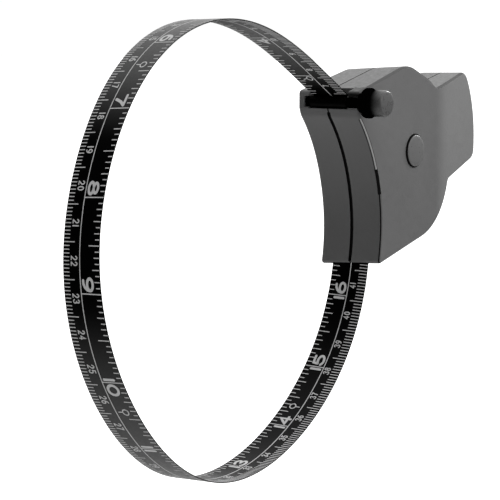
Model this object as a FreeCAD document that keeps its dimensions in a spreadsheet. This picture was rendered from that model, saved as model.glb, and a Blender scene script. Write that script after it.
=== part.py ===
import FreeCAD, Part
import math
import os
from FreeCAD import Vector, Placement, Rotation
import Sketcher

# Retractable body tape measure: a palm-sized two-part case with a concave front, a spring-wound spool
# inside it, a push button that lifts the spool brake, and a flexible tape whose free end carries a lock
# pin that hooks into a groove in the nose of the case, so that the tape makes a closed loop.
#
# Modelling frame: y = 0 is the parting plane, -Y is the button side, x = z = 0 is the spool axis,
# +X runs towards the grip tail, -X towards the concave front, +Z is up.  At the end every piece is
# moved by -half_thick in Y, which puts the origin on the spool axis at the far shell's flat face.

doc = FreeCAD.newDocument("BodyTapeMeasure")
sheet = doc.addObject("Spreadsheet::Sheet", "Dims")

DIMS = [
    # case
    ("half_thick", 11.3), ("wall", 1.6), ("side_wall", 1.2), ("gap_half", 0.01), ("edge_round", 0.8),
    ("face_r", 53.8), ("face_cx", -73.6), ("face_cz", -23.3),
    ("drum_r", 28.1), ("drum_cx", -3.4), ("drum_cz", -2.2),
    ("tail_r", 34.3), ("tail_cx", 15.1), ("tail_cz", 0.64), ("crest_r", 15.0),
    ("taper_slope", 0.17), ("taper_x", 13.0), ("taper_blend", 59.4), ("tail_cavity", 4.6),
    ("seam_face", 0.34), ("seam_face_deep", 0.5),
    # nose groove and lock pin
    ("pin_x", -32.5), ("pin_z", 16.83), ("pin_r", 1.55), ("groove_r", 1.7), ("recess_r", 2.08),
    ("recess_half", 7.35), ("groove_far", 8.95), ("pin_far_end", 8.8), ("knob_back", -15.1),
    ("knob_front", -20.9), ("knob_r", 4.1), ("sleeve_in", 1.62), ("sleeve_out", 1.92),
    # screws
    ("screw_r", 1.08), ("pilot_r", 1.12), ("clear_r", 1.35), ("head_r", 2.1), ("head_pocket_r", 2.35),
    ("head_len", 1.3), ("boss_r", 2.75), ("seat_y", 9.6), ("tail_seat_y", 6.35),
    # spool
    ("hub_r", 9.5), ("cup_r", 8.7), ("flange_r", 18.5), ("flange_in", 7.0), ("flange_out", 7.6),
    ("bush_in", 2.55), ("bush_out", 3.97), ("sleeve_hub_in", 4.0), ("sleeve_hub_out", 5.2),
    ("coil_r", 15.0), ("coil_in", 9.52), ("tape_w", 13.5), ("tape_thick", 0.35),
    ("journal_r", 2.5), ("arbor_r", 3.3), ("spigot_r", 2.0), ("brake_in", 14.2), ("brake_out", 17.8),
    # button and brake
    ("button_r", 5.45), ("button_hole_r", 5.6), ("button_top", 12.05),
    ("lever_x", 12.0), ("lever_y", -9.0), ("barrel_r", 0.95), ("pivot_r", 0.5), ("pivot_hole_r", 0.53),
    ("lever_back", -9.25), ("lever_front", -8.55),
    ("spring_wire", 0.35), ("spring_mean_r", 2.8),
]
for row_number, (alias, size) in enumerate(DIMS, 1):
    sheet.set("A%d" % row_number, alias)
    sheet.set("B%d" % row_number, str(size))
    sheet.setAlias("B%d" % row_number, alias)
doc.recompute()
SIZES = {alias: float(getattr(sheet, alias)) for alias, _ in DIMS}

NODES = []                                 # the pieces to export
TO_Y = Rotation(Vector(1, 0, 0), -90)      # turns a cylinder's own +Z to +Y
LEAST_CHANGE = 0.01                        # volume that every pad or pocket must exceed


# ------------------------------------------------------------------ sizes bound to the sheet
# A size is a number, or a sum such as "half_thick - side_wall" of aliases and numbers.
def tokens(size):
    return size.replace("-", " - ").replace("+", " + ").split()


def value(size):
    """The size as a number."""
    if not isinstance(size, str):
        return float(size)
    total, sign = 0.0, 1.0
    for token in tokens(size):
        if token in "+-":
            sign = -1.0 if token == "-" else 1.0
        else:
            total += sign * (SIZES[token] if token in SIZES else float(token))
            sign = 1.0
    return total


def bind(owner, path, size):
    """Let a property read the sheet when its size is a sum of aliases."""
    if isinstance(size, str):
        terms = ["Dims." + token if token in SIZES else token for token in tokens(size)]
        owner.setExpression(path, " ".join(terms))


# ------------------------------------------------------------------ sketches
def new_body(label):
    body = doc.addObject("PartDesign::Body", label)
    body.Label = label
    return body


def new_sketch(body, name, role="XZ_Plane", offset=0.0):
    """Empty sketch; one on the XZ plane faces -Y, so a positive offset moves it to -Y."""
    plane = [item for item in body.Origin.OriginFeatures if item.Role == role][0]
    sketch = body.newObject("Sketcher::SketchObject", name)
    sketch.AttachmentSupport = [(plane, "")]
    sketch.MapMode = "FlatFace"
    if offset:
        sketch.AttachmentOffset = Placement(Vector(0, 0, value(offset)), Rotation())
        bind(sketch, "AttachmentOffset.Base.z", offset)
    return sketch


def fix_point(sketch, geometry, point, place):
    """Tie a point of the geometry to its two coordinates."""
    for kind, axis, size in (("DistanceX", -2, place[0]), ("DistanceY", -1, place[1])):
        distance = value(size)
        if abs(distance) < 1e-9:
            sketch.addConstraint(Sketcher.Constraint("PointOnObject", geometry, point, axis))
        else:
            index = sketch.addConstraint(
                Sketcher.Constraint(kind, -1, 1, geometry, point, distance))
            bind(sketch, "Constraints[%d]" % index, size)


def add_polygon(sketch, corners):
    """Closed polygon with every corner bound to its sizes."""
    count = len(corners)
    points = [Vector(value(a), value(b), 0) for a, b in corners]
    first = sketch.GeometryCount
    for i in range(count):
        sketch.addGeometry(Part.LineSegment(points[i], points[(i + 1) % count]), False)
    for i in range(count):
        sketch.addConstraint(
            Sketcher.Constraint("Coincident", first + i, 2, first + (i + 1) % count, 1))
    for i in range(count):
        fix_point(sketch, first + i, 1, corners[i])


def polygon_sketch(body, name, polygons, role="XZ_Plane", offset=0.0):
    sketch = new_sketch(body, name, role, offset)
    for corners in polygons:
        add_polygon(sketch, corners)
    return sketch


def circle_sketch(body, name, x, z, radius, role="XZ_Plane", offset=0.0):
    sketch = new_sketch(body, name, role, offset)
    circle = Part.Circle(Vector(value(x), value(z), 0), Vector(0, 0, 1), value(radius))
    geometry = sketch.addGeometry(circle, False)
    fix_point(sketch, geometry, 3, (x, z))
    index = sketch.addConstraint(Sketcher.Constraint("Radius", geometry, value(radius)))
    bind(sketch, "Constraints[%d]" % index, radius)
    return sketch


def wire_sketch(body, name, wire):
    """Sketch of a flat wire of lines and arcs, drawn in the sketch's own plane."""
    sketch = new_sketch(body, name)
    for edge in wire.OrderedEdges:
        curve = edge.Curve
        low, high = edge.ParameterRange
        start, end = edge.valueAt(low), edge.valueAt(high)
        if isinstance(curve, Part.Line):
            sketch.addGeometry(Part.LineSegment(start, end), False)
        elif isinstance(curve, Part.Circle):
            if curve.Axis.z < 0:
                sketch.addGeometry(Part.Arc(end, edge.valueAt(0.5 * (low + high)), start), False)
            else:
                sketch.addGeometry(Part.ArcOfCircle(curve, low, high), False)
        else:
            raise RuntimeError("unexpected edge in a profile: %s" % curve)
    return sketch


def arc_loop_sketch(body, name, arc_points, corners, role="XZ_Plane"):
    """An arc through three points, closed by straight runs from its end past the corners."""
    start, middle, end = [Vector(a, b, 0) for a, b in arc_points]
    sketch = new_sketch(body, name, role)
    sketch.addGeometry(Part.Arc(start, middle, end), False)
    run = [end] + [Vector(a, b, 0) for a, b in corners] + [start]
    for a, b in zip(run[:-1], run[1:]):
        sketch.addGeometry(Part.LineSegment(a, b), False)
    return sketch


def rectangle(x0, x1, z0, z1):
    return [(x0, z0), (x1, z0), (x1, z1), (x0, z1)]


# ------------------------------------------------------------------ features
def extrude(body, kind, name, sketch, length, reversed_, midplane):
    """Pad or Pocket that must change the body's volume."""
    doc.recompute()
    before = body.Shape.Volume if body.Tip is not None else 0.0
    feature = body.newObject("PartDesign::" + kind, name)
    feature.Profile = sketch
    feature.Length = value(length)
    bind(feature, "Length", length)
    feature.Reversed = reversed_
    feature.Midplane = midplane
    sketch.Visibility = False
    doc.recompute()
    after = body.Shape.Volume
    change = after - before if kind == "Pad" else before - after
    if not change > LEAST_CHANGE:
        raise RuntimeError("%s %s changed nothing: %.4f -> %.4f" % (kind, name, before, after))
    return feature


def pad(body, name, sketch, length, reversed_=False, midplane=False):
    return extrude(body, "Pad", name, sketch, length, reversed_, midplane)


def pocket(body, name, sketch, length, reversed_=False, midplane=False):
    return extrude(body, "Pocket", name, sketch, length, reversed_, midplane)


def turned(label, profile, feature="turned"):
    """A piece turned about the Y axis; the profile's corners are (radius, y)."""
    body = new_body(label)
    sketch = polygon_sketch(body, label + "_profile", [profile], "XY_Plane")
    revolution = body.newObject("PartDesign::Revolution", label + "_" + feature)
    revolution.Profile = sketch
    revolution.ReferenceAxis = (sketch, ["V_Axis"])
    revolution.Angle = 360.0
    sketch.Visibility = False
    doc.recompute()
    NODES.append(body)
    return body


def primitive(kind, name, base, rotation=None, **sizes):
    """A Part box or cylinder with its sizes bound to the sheet."""
    item = doc.addObject(kind, name)
    for prop, size in sizes.items():
        setattr(item, prop, value(size))
        bind(item, prop, size)
    item.Placement = Placement(base, rotation or Rotation())
    return item


def free_form(label, shape):
    """A piece whose shape is computed here from the sheet's sizes."""
    item = doc.addObject("Part::Feature", label)
    item.Label = label
    item.Shape = shape
    NODES.append(item)


# ------------------------------------------------------------------ plane geometry, (x, z) as (x, y)
def to_circle(point, centre, radius):
    """The point moved along its radius onto the circle."""
    spoke = point - centre
    return centre + spoke * (radius / spoke.Length)


def tangent(point, centre, sense):
    """Unit tangent of a circle at the point; sense +1 anticlockwise, -1 clockwise."""
    return Vector(-(point.y - centre.y) * sense, (point.x - centre.x) * sense, 0).normalize()


def round_corner(corner, dir_a, dir_b, radius):
    """Start, middle and end of an arc between two straight runs leaving the corner."""
    dir_a, dir_b = Vector(dir_a).normalize(), Vector(dir_b).normalize()
    half = math.acos(max(-1.0, min(1.0, dir_a.dot(dir_b)))) / 2
    reach = radius / math.tan(half)
    bisector = (dir_a + dir_b).normalize()
    centre = corner + bisector * (radius / math.sin(half))
    return [corner + dir_a * reach, centre - bisector * radius, corner + dir_b * reach]


def arc(start, middle, end):
    return Part.Arc(start, middle, end).toShape()


def circle_arc(start, end, centre, radius):
    """Shorter arc of a circle between two of its points."""
    return arc(start, to_circle((start + end) * 0.5, centre, radius), end)


def segment(start, end):
    return Part.LineSegment(start, end).toShape()


def line_point(line, x):
    """Point at x on a line given as (x0, z0, slope)."""
    x0, z0, slope = line
    return Vector(x, z0 + slope * (x - x0), 0)


def meet_circle(line, centre, radius, x0, x1):
    """Where the line crosses the circle between x0 and x1, by bisection."""
    def is_inside(x):
        return (line_point(line, x) - centre).Length < radius
    for _ in range(60):
        middle = 0.5 * (x0 + x1)
        if is_inside(x0) == is_inside(middle):
            x0 = middle
        else:
            x1 = middle
    return line_point(line, 0.5 * (x0 + x1))


def polygon_face(points):
    return Part.Face(Part.makePolygon(points + [points[0]]))


def flat_face(corners):
    return polygon_face([Vector(x, z, 0) for x, z in corners])


# ------------------------------------------------------------------ case outline
# Straight runs as (x0, z0, slope)
TOP_LINE = (0.0, 29.70, 0.2806)
TAIL_TOP_LINE = (13.8, 19.96, 0.2115)
TAIL_BOTTOM_LINE = (24.3, -10.8, 0.229)
BOTTOM_ANGLE = 13.6            # rise of the bottom line, degrees
DRUM_TOP_ANGLE = 68.5          # where the drum arc begins behind the crest, degrees
NOSE_X = -34.1
LIP_FACE_Z = 12.2              # the face arc ends here
LIP_NOSE_Z = 14.6              # the nose's upright front begins here
FOOT_GUESS_Z = -35.05
FOOT_R = 1.1
NOSE_R = 1.3
LIP_FACE_R = 4.0
LIP_NOSE_R = 1.2
TAIL_UPPER_R = 8.0
TAIL_LOWER_R = 4.0
JOINT_R = 2.5                  # where the tail meets the drum


def case_outline():
    """Closed wire of the case: up the face, over the nose, back to the tail, and along the bottom."""
    face = Vector(SIZES["face_cx"], SIZES["face_cz"], 0)
    drum = Vector(SIZES["drum_cx"], SIZES["drum_cz"], 0)
    tail = Vector(SIZES["tail_cx"], SIZES["tail_cz"], 0)
    face_r, drum_r, tail_r = SIZES["face_r"], SIZES["drum_r"], SIZES["tail_r"]

    def on_face(z):
        return Vector(face.x + math.sqrt(face_r ** 2 - (z - face.y) ** 2), z, 0)

    def on_drum(degrees):
        angle = math.radians(degrees)
        return drum + Vector(math.cos(angle), math.sin(angle), 0) * drum_r

    # the bottom line leaves the drum as a tangent and meets the face at the foot
    drum_bottom = on_drum(BOTTOM_ANGLE - 90)
    bottom_slope = math.tan(math.radians(BOTTOM_ANGLE))
    bottom_line = (drum_bottom.x, drum_bottom.y, bottom_slope)
    foot_corner = on_face(FOOT_GUESS_Z)
    for _ in range(20):
        foot_corner = on_face(line_point(bottom_line, foot_corner.x).y)
    foot = round_corner(foot_corner, tangent(foot_corner, face, +1), Vector(1, bottom_slope, 0), FOOT_R)
    foot[0] = on_face(foot[0].y)

    # nose and its lip
    lip_a = on_face(LIP_FACE_Z)
    lip_b = Vector(NOSE_X, LIP_NOSE_Z, 0)
    lip_face = round_corner(lip_a, tangent(lip_a, face, -1), lip_b - lip_a, LIP_FACE_R)
    lip_face[0] = to_circle(lip_face[0], face, face_r)
    lip_nose = round_corner(lip_b, lip_a - lip_b, Vector(0, 1, 0), LIP_NOSE_R)
    top_dir = Vector(1, TOP_LINE[2], 0)
    nose = round_corner(line_point(TOP_LINE, NOSE_X), Vector(0, -1, 0), top_dir, NOSE_R)

    # crest, between the straight top and the drum's tangent
    drum_top = on_drum(DRUM_TOP_ANGLE)
    rise = tangent(drum_top, drum, +1)
    reach = (line_point(TOP_LINE, drum_top.x).y - drum_top.y) / (rise.y - TOP_LINE[2] * rise.x)
    crest = round_corner(drum_top + rise * reach, top_dir * -1, rise * -1, SIZES["crest_r"])

    # tail, and the small radii where it meets the drum
    tail_top_dir = Vector(1, TAIL_TOP_LINE[2], 0)
    tail_bottom_dir = Vector(1, TAIL_BOTTOM_LINE[2], 0)
    corner = meet_circle(TAIL_TOP_LINE, drum, drum_r, 5.0, 20.0)
    top_joint = round_corner(corner, tangent(corner, drum, +1), tail_top_dir, JOINT_R)
    top_joint[0] = to_circle(top_joint[0], drum, drum_r)
    corner = meet_circle(TAIL_TOP_LINE, tail, tail_r, 30.0, 60.0)
    tail_upper = round_corner(corner, tail_top_dir * -1, tangent(corner, tail, -1), TAIL_UPPER_R)
    tail_upper[2] = to_circle(tail_upper[2], tail, tail_r)
    corner = meet_circle(TAIL_BOTTOM_LINE, tail, tail_r, 40.0, 60.0)
    tail_lower = round_corner(corner, tangent(corner, tail, +1), tail_bottom_dir * -1, TAIL_LOWER_R)
    tail_lower[0] = to_circle(tail_lower[0], tail, tail_r)
    corner = meet_circle(TAIL_BOTTOM_LINE, drum, drum_r, 15.0, 35.0)
    bottom_joint = round_corner(corner, tail_bottom_dir, tangent(corner, drum, -1), JOINT_R)
    bottom_joint[2] = to_circle(bottom_joint[2], drum, drum_r)

    edges = [
        circle_arc(foot[0], lip_face[0], face, face_r),
        arc(*lip_face),
        segment(lip_face[2], lip_nose[0]),
        arc(*lip_nose),
        segment(lip_nose[2], nose[0]),
        arc(*nose),
        segment(nose[2], crest[0]),
        arc(*crest),
        segment(crest[2], drum_top),
        circle_arc(drum_top, top_joint[0], drum, drum_r),
        arc(*top_joint),
        segment(top_joint[2], tail_upper[0]),
        arc(*tail_upper),
        circle_arc(tail_upper[2], tail_lower[0], tail, tail_r),
        arc(*tail_lower),
        segment(tail_lower[2], bottom_joint[0]),
        arc(*bottom_joint),
        circle_arc(bottom_joint[2], drum_bottom, drum, drum_r),
        segment(drum_bottom, foot[2]),
        arc(*reversed(foot)),
    ]
    wire = Part.Wire(Part.__sortEdges__(edges))
    if not wire.isClosed():
        raise RuntimeError("case outline is open")
    return wire


# Areas kept solid or cut in the case's plane, as corners (x, z)
NOSE_SOLID = rectangle(-60, -28.6, 9.0, 60)        # left out of the main cavity
BEYOND_MAIN = rectangle(19.2, 90, -60, 60)         # the main cavity stops at its left edge
TAIL_ZONE = rectangle(18.2, 90, -60, 60)
SEAM_ZONE = rectangle(-60, -10, -34.2, 13.6)
SEAM_FRONT = [(-60, -34.2), (-19.0, -34.2), (-16.0, -20), (-24.0, 8), (-30.0, 13.6), (-60, 13.6)]
TAPE_SLOT = [(-21.0, -37.0), (-19.58, -30.0), (-18.4, -24.0), (-18.0, -18.0),
             (-16.4, -18.0), (-17.4, -24.0), (-18.65, -30.0), (-20.1, -37.0)]
TAPE_SLOT_HALF = 7.15

outline = case_outline()
outline_face = Part.Face(outline)


def inset_face(distance):
    return Part.Face(outline.makeOffset2D(-distance, 0, False, False, False))


inner_face = inset_face(SIZES["wall"])
main_cavity = inner_face.cut(flat_face(NOSE_SOLID)).cut(flat_face(BEYOND_MAIN))
tail_cavity = inner_face.common(flat_face(TAIL_ZONE))
seam_band = outline_face.cut(inset_face(SIZES["seam_face_deep"]))
seam_band = seam_band.common(flat_face(SEAM_ZONE)).common(flat_face(SEAM_FRONT))

# Screws: x, z, then head seat, boss height, pilot depth and shank length
CASE_SCREW = ("seat_y", "half_thick - side_wall + 0.3", 8.0, 16.2)
TAIL_SCREW = ("tail_seat_y", 5.2, 4.9, 10.6)
SCREWS = [(-25.6, 9.2) + CASE_SCREW, (-12.5, -26.8) + CASE_SCREW, (14.9, -17.2) + CASE_SCREW,
          (34.0, 6.0) + TAIL_SCREW]


# ------------------------------------------------------------------ case shells
def taper_tail(body, label, side):
    """Narrow the grip tail: a blend arc, then a straight slope towards the end."""
    blend, slope, x0 = SIZES["taper_blend"], SIZES["taper_slope"], SIZES["taper_x"]
    angle = math.atan(slope)
    run = 42                   # x length of the slope, past the end of the tail
    clear_y = side * 20

    def on_blend(turn):
        depth = blend * (1 - math.cos(turn))
        return x0 + blend * math.sin(turn), side * (SIZES["half_thick"] - depth)

    x1, y1 = on_blend(angle)
    corners = [(x1 + run, y1 - side * run * slope), (x1 + run, clear_y), (x0, clear_y)]
    sketch = arc_loop_sketch(body, label + "_taper", [on_blend(0), on_blend(angle / 2), (x1, y1)],
                             corners, "XY_Plane")
    return pocket(body, label + "_tail_taper", sketch, 160.0, midplane=True)


def round_rim(body, label, base):
    """Round the rim of the flat side: outline edges well away from the parting plane."""
    edge_names = []
    for i, edge in enumerate(base.Shape.Edges, 1):
        box = edge.BoundBox
        is_high = min(abs(box.YMin), abs(box.YMax)) > 3.0 and box.YLength < 8.0
        if is_high and (box.XLength > 0.05 or box.ZLength > 0.05):
            middle = edge.valueAt(0.5 * sum(edge.ParameterRange))
            if outline.distToShape(Part.Vertex(middle.x, middle.z, 0))[0] < 1e-3:
                edge_names.append("Edge%d" % i)
    rim = body.newObject("PartDesign::Fillet", label + "_rim")
    rim.Base = (base, edge_names)
    rim.Radius = SIZES["edge_round"]
    bind(rim, "Radius", "edge_round")
    doc.recompute()
    if rim.Shape.isNull() or not rim.Shape.isValid() or "Invalid" in rim.State:
        raise RuntimeError("rim fillet failed on %s with %s" % (label, edge_names))


def cut_areas(body, sketch_name, name, areas, depth, reversed_):
    """Pocket every face of a flat shape, apart from slivers."""
    wires = [face.OuterWire for face in areas.Faces if face.Area > 2.0]
    for i, wire in enumerate(wires):
        sketch = wire_sketch(body, "%s%d" % (sketch_name, i), wire)
        pocket(body, "%s%d" % (name, i), sketch, depth, reversed_)


def cut_pin_seat(body, label, side):
    """Groove for the lock pin, closed at the far side, and the open-topped recess for the tape."""
    x, z = SIZES["pin_x"], SIZES["pin_z"]
    front_x = x - 8            # past the front of the nose
    above_z = z + 9            # past the top of the nose
    r = SIZES["groove_r"]
    sketch = arc_loop_sketch(body, label + "_groove", [(x, z - r), (x + r, z), (x, z + r)],
                             [(front_x, z + r), (front_x, z - r)])
    pocket(body, label + "_pin_groove", sketch, 14.0 if side < 0 else "groove_far", side < 0)
    r = SIZES["recess_r"]
    diagonal = r * math.sqrt(0.5)
    sketch = arc_loop_sketch(body, label + "_recess",
                             [(x, z - r), (x + diagonal, z - diagonal), (x + r, z)],
                             [(x + r, above_z), (front_x, above_z), (front_x, z - r)])
    pocket(body, label + "_tape_recess", sketch, "recess_half", side < 0)


def add_button_side(body, label):
    """Button opening, screw pilots, and the two ears that carry the brake lever's pivot pin."""
    sketch = circle_sketch(body, label + "_button_hole", 0.0, 0.0, "button_hole_r")
    pocket(body, label + "_button_opening", sketch, 20.0, True)
    for i, (x, z, _, _, pilot_depth, _) in enumerate(SCREWS):
        sketch = circle_sketch(body, "%s_pilot%d" % (label, i), x, z, "pilot_r")
        pocket(body, "%s_pilot_hole%d" % (label, i), sketch, pilot_depth, True)
    ears = [rectangle("lever_x - 1.2", "lever_x + 1.2", z0, z1) for z0, z1 in ((6.2, 8.5), (-8.5, -6.2))]
    pad(body, label + "_lever_ears", polygon_sketch(body, label + "_ears", ears, offset=8.25), 2.0)
    sketch = circle_sketch(body, label + "_pivot", "lever_x", "lever_y", "pivot_hole_r", "XY_Plane")
    pocket(body, label + "_pivot_hole", sketch, 16.6, midplane=True)


def add_far_side(body, label):
    """Seat for the spool axle, screw clearance holes and head pockets."""
    sketch = circle_sketch(body, label + "_axle_boss", 0.0, 0.0, 5.0, offset=-8.32)
    pad(body, label + "_axle_seat", sketch, 1.95, True)
    sketch = circle_sketch(body, label + "_axle_bore", 0.0, 0.0, "spigot_r + 0.03", offset=-8.0)
    pocket(body, label + "_axle_hole", sketch, 2.7)
    for i, (x, z, seat, _, _, _) in enumerate(SCREWS):
        sketch = circle_sketch(body, "%s_clear%d" % (label, i), x, z, "clear_r")
        pocket(body, "%s_clear_hole%d" % (label, i), sketch, 20.0)
        sketch = circle_sketch(body, "%s_head%d" % (label, i), x, z, "head_pocket_r",
                               offset="- " + seat)
        pocket(body, "%s_head_pocket%d" % (label, i), sketch, 8.0)


def case_shell(label, side):
    """One half of the case: side -1 is the button half, +1 the far half."""
    body = new_body(label)
    pad_back = side > 0        # sketches face -Y, so the far half is padded in reverse
    cut_back = side < 0        # and a pocket's reverse is -Y
    pad(body, label + "_block", wire_sketch(body, label + "_outline", outline), "half_thick", pad_back)
    round_rim(body, label, taper_tail(body, label, side))
    cut_areas(body, label + "_cavity", label + "_hollow", main_cavity,
              "half_thick - side_wall", cut_back)
    cut_areas(body, label + "_tailcav", label + "_tail_hollow", tail_cavity, "tail_cavity", cut_back)
    for i, (x, z, _, boss_height, _, _) in enumerate(SCREWS):
        sketch = circle_sketch(body, "%s_boss%d" % (label, i), x, z, "boss_r")
        pad(body, "%s_post%d" % (label, i), sketch, boss_height, pad_back)
    # hair gap that keeps the two halves apart
    sketch = polygon_sketch(body, label + "_butt", [rectangle(-80, 80, -60, 60)])
    pocket(body, label + "_butt_gap", sketch, "gap_half", cut_back)
    # open seam along the concave front
    cut_areas(body, label + "_seamface", label + "_seam_front", seam_band, "seam_face", cut_back)
    # passage for the tape along the inside of the front wall and out through the bottom
    sketch = polygon_sketch(body, label + "_run", [TAPE_SLOT])
    pocket(body, label + "_tape_slot", sketch, TAPE_SLOT_HALF, cut_back)
    cut_pin_seat(body, label, side)
    if side < 0:
        add_button_side(body, label)
    else:
        add_far_side(body, label)
    doc.recompute()
    NODES.append(body)


case_shell("button_side_shell", -1)
case_shell("far_side_shell", +1)

# ------------------------------------------------------------------ case screws
HEAD_LIFT = 0.02               # head above its seat
SHANK_OVERLAP = 0.05           # shank past the seat, into the head
DRIVE_LONG = 2.6
DRIVE_WIDE = 0.7
DRIVE_DEEP = 0.6


def case_screw(i, x, z, seat, length):
    """Pan-head screw along Y with a cross drive."""
    seat_y = value(seat)
    shank = primitive("Part::Cylinder", "screw_shank%d" % i,
                      Vector(x, seat_y - length + SHANK_OVERLAP, z), TO_Y,
                      Radius="screw_r", Height=length)
    head = primitive("Part::Cylinder", "screw_head%d" % i, Vector(x, seat_y + HEAD_LIFT, z), TO_Y,
                     Radius="head_r", Height="head_len")
    bind(head, "Placement.Base.y", "%s + %s" % (seat, HEAD_LIFT))
    drive_y = seat_y + HEAD_LIFT + SIZES["head_len"] - DRIVE_DEEP
    slots = [primitive("Part::Box", name + str(i), Vector(x - along_x / 2, drive_y, z - along_z / 2),
                       Length=along_x, Width=DRIVE_DEEP, Height=along_z)
             for name, along_x, along_z in (("screw_drive", DRIVE_LONG, DRIVE_WIDE),
                                            ("screw_driveb", DRIVE_WIDE, DRIVE_LONG))]
    blank = doc.addObject("Part::MultiFuse", "screw_body%d" % i)
    blank.Shapes = [shank, head]
    cross = doc.addObject("Part::MultiFuse", "screw_cross%d" % i)
    cross.Shapes = slots
    screw = doc.addObject("Part::Cut", "screw%d" % i)
    screw.Base = blank
    screw.Tool = cross
    return screw


def case_screws():
    """All four screws as one piece."""
    screws = doc.addObject("Part::Compound", "case_screws")
    screws.Label = "case_screws"
    screws.Links = [case_screw(i, x, z, seat, length)
                    for i, (x, z, seat, _, _, length) in enumerate(SCREWS)]
    doc.recompute()
    NODES.append(screws)


case_screws()

# ------------------------------------------------------------------ turned pieces on the spool axis
# Each profile is a list of (radius, y) corners.
TURNED = [
    # axle group, fixed in the far shell
    ("spool_axle", [
        (0, 10.6), ("spigot_r", 10.6), ("spigot_r", 8.3), (3.4, 8.3), (3.4, 7.9), ("arbor_r", 7.9),
        ("arbor_r", -0.15), ("journal_r", -0.15), ("journal_r", -6.05), (1.0, -6.05), (1.0, -3.2),
        (0, -3.2)]),
    ("thrust_washer", [(2.56, -0.54), (3.9, -0.54), (3.9, -0.2), (2.56, -0.2)]),
    ("retaining_washer", [(1.05, -6.4), (3.4, -6.4), (3.4, -6.08), (1.05, -6.08)]),
    ("axle_screw", [
        (0, -7.3), (1.2, -7.3), (1.6, -7.2), (2.0, -6.9), (2.0, -6.42), (0.96, -6.42),
        (0.96, -3.3), (0, -3.3)]),
    # spool
    ("spool_drum", [
        ("sleeve_hub_in", -6.0), ("sleeve_hub_out", -6.0), ("sleeve_hub_out", -1.6), ("cup_r", -1.6),
        ("cup_r", "- flange_in"), ("hub_r", "- flange_in"), ("hub_r", "flange_in"),
        ("flange_r", "flange_in"), ("flange_r", "flange_out"), ("cup_r", "flange_out"),
        ("cup_r", -0.6), ("sleeve_hub_in", -0.6)]),
    ("spool_side_flange", [
        (8.0, "- flange_out"), ("flange_r", "- flange_out"), ("flange_r", "- flange_in - 0.01"),
        ("cup_r - 0.02", "- flange_in - 0.01"), ("cup_r - 0.02", -5.6), (8.0, -5.6)]),
    ("spool_bush", [("bush_in", -6.0), ("bush_out", -6.0), ("bush_out", -0.58), ("bush_in", -0.58)]),
    ("spring_cover", [(3.6, 6.6), ("cup_r - 0.02", 6.6), ("cup_r - 0.02", 7.0), (3.6, 7.0)]),
    ("tape_coil", [("coil_in", -6.75), ("coil_r", -6.75), ("coil_r", 6.75), ("coil_in", 6.75)]),
    ("brake_ring", [
        ("brake_in", -8.0), ("brake_out", -8.0), ("brake_out", "- flange_out - 0.01"),
        ("brake_in", "- flange_out - 0.01")]),
]
for turned_label, turned_profile in TURNED:
    turned(turned_label, turned_profile)

# ------------------------------------------------------------------ springs and tape as swept solids
POINTS_PER_TURN = 24
WIRE_RAILS = 8                 # rails round a spring wire


def spline_edge(points):
    curve = Part.BSplineCurve()
    curve.interpolate(points)
    return curve.toShape()


def spiral_strip(r_start, r_end, turns, thick, y0, y1):
    """Flat strip wound about the spool axis."""
    inside, outside = [], []
    count = int(turns * POINTS_PER_TURN)
    for i in range(count + 1):
        angle = 2 * math.pi * turns * i / count
        radius = r_start + (r_end - r_start) * i / count
        for points, r in ((inside, radius - thick / 2), (outside, radius + thick / 2)):
            points.append(Vector(r * math.cos(angle), y0, r * math.sin(angle)))
    wire = Part.Wire([spline_edge(inside), segment(inside[-1], outside[-1]),
                      spline_edge(outside), segment(outside[0], inside[0])])
    return Part.Face(wire).extrude(Vector(0, y1 - y0, 0))


def tube(rails):
    """Closed solid from a ring of rails, each rail a list of points."""
    edges = [spline_edge(rail) for rail in rails]
    count = len(rails)
    faces = [Part.makeRuledSurface(edges[i], edges[(i + 1) % count]) for i in range(count)]
    for end in (0, -1):
        faces.append(polygon_face([rail[end] for rail in rails]))
    skin = Part.makeShell(faces)
    skin.sewShape()
    solid = Part.Solid(skin)
    if solid.Volume < 0:
        solid.reverse()
    solid.fix(1e-5, 1e-5, 1e-5)
    return solid


def coil_spring(mean_r, wire_r, y0, y1, turns):
    """Round-wire compression spring about the spool axis."""
    rise = y1 - y0 - 2 * wire_r
    count = int(turns * POINTS_PER_TURN)
    rails = [[] for _ in range(WIRE_RAILS)]
    for i in range(count + 1):
        angle = 2 * math.pi * turns * i / count
        outward = Vector(math.cos(angle), 0, math.sin(angle))
        y = y0 + wire_r + rise * i / count
        for k, rail in enumerate(rails):
            around = 2 * math.pi * k / WIRE_RAILS
            rail.append(outward * (mean_r + wire_r * math.cos(around))
                        + Vector(0, y + wire_r * math.sin(around), 0))
    return tube(rails)


# mainspring, between the arbor and the spring cup
free_form("power_spring", spiral_strip(r_start=SIZES["arbor_r"] + 0.22, r_end=SIZES["cup_r"] - 0.25,
                                       turns=9.0, thick=0.18, y0=-0.1, y1=6.3))


# ------------------------------------------------------------------ push button and its spring
def push_button():
    """Domed cap with two side lugs, each joined to the skirt by a short neck."""
    body = turned("push_button", [
        (0, "- button_top"), (2.6, "- button_top + 0.08"), (4.3, "- button_top + 0.3"),
        (5.0, "- button_top + 0.52"), ("button_r - 0.12", "- button_top + 0.72"),
        ("button_r", "- button_top + 1.0"), ("button_r", -10.14), (3.35, -10.14), (3.35, -11.0),
        (0, -11.0)], "cap")
    inner_z, half_width = 3.5, 1.2
    for part, offset, height, outer_z in (("lug", 9.45, 0.64, 6.5), ("neck", 10.05, 0.3, 5.2)):
        for i, (z0, z1) in enumerate(((inner_z, outer_z), (-outer_z, -inner_z))):
            sketch = polygon_sketch(body, "push_button_%s_sketch%d" % (part, i),
                                    [rectangle(-half_width, half_width, z0, z1)], offset=offset)
            pad(body, "push_button_%s%d" % (part, i), sketch, height)


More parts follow.
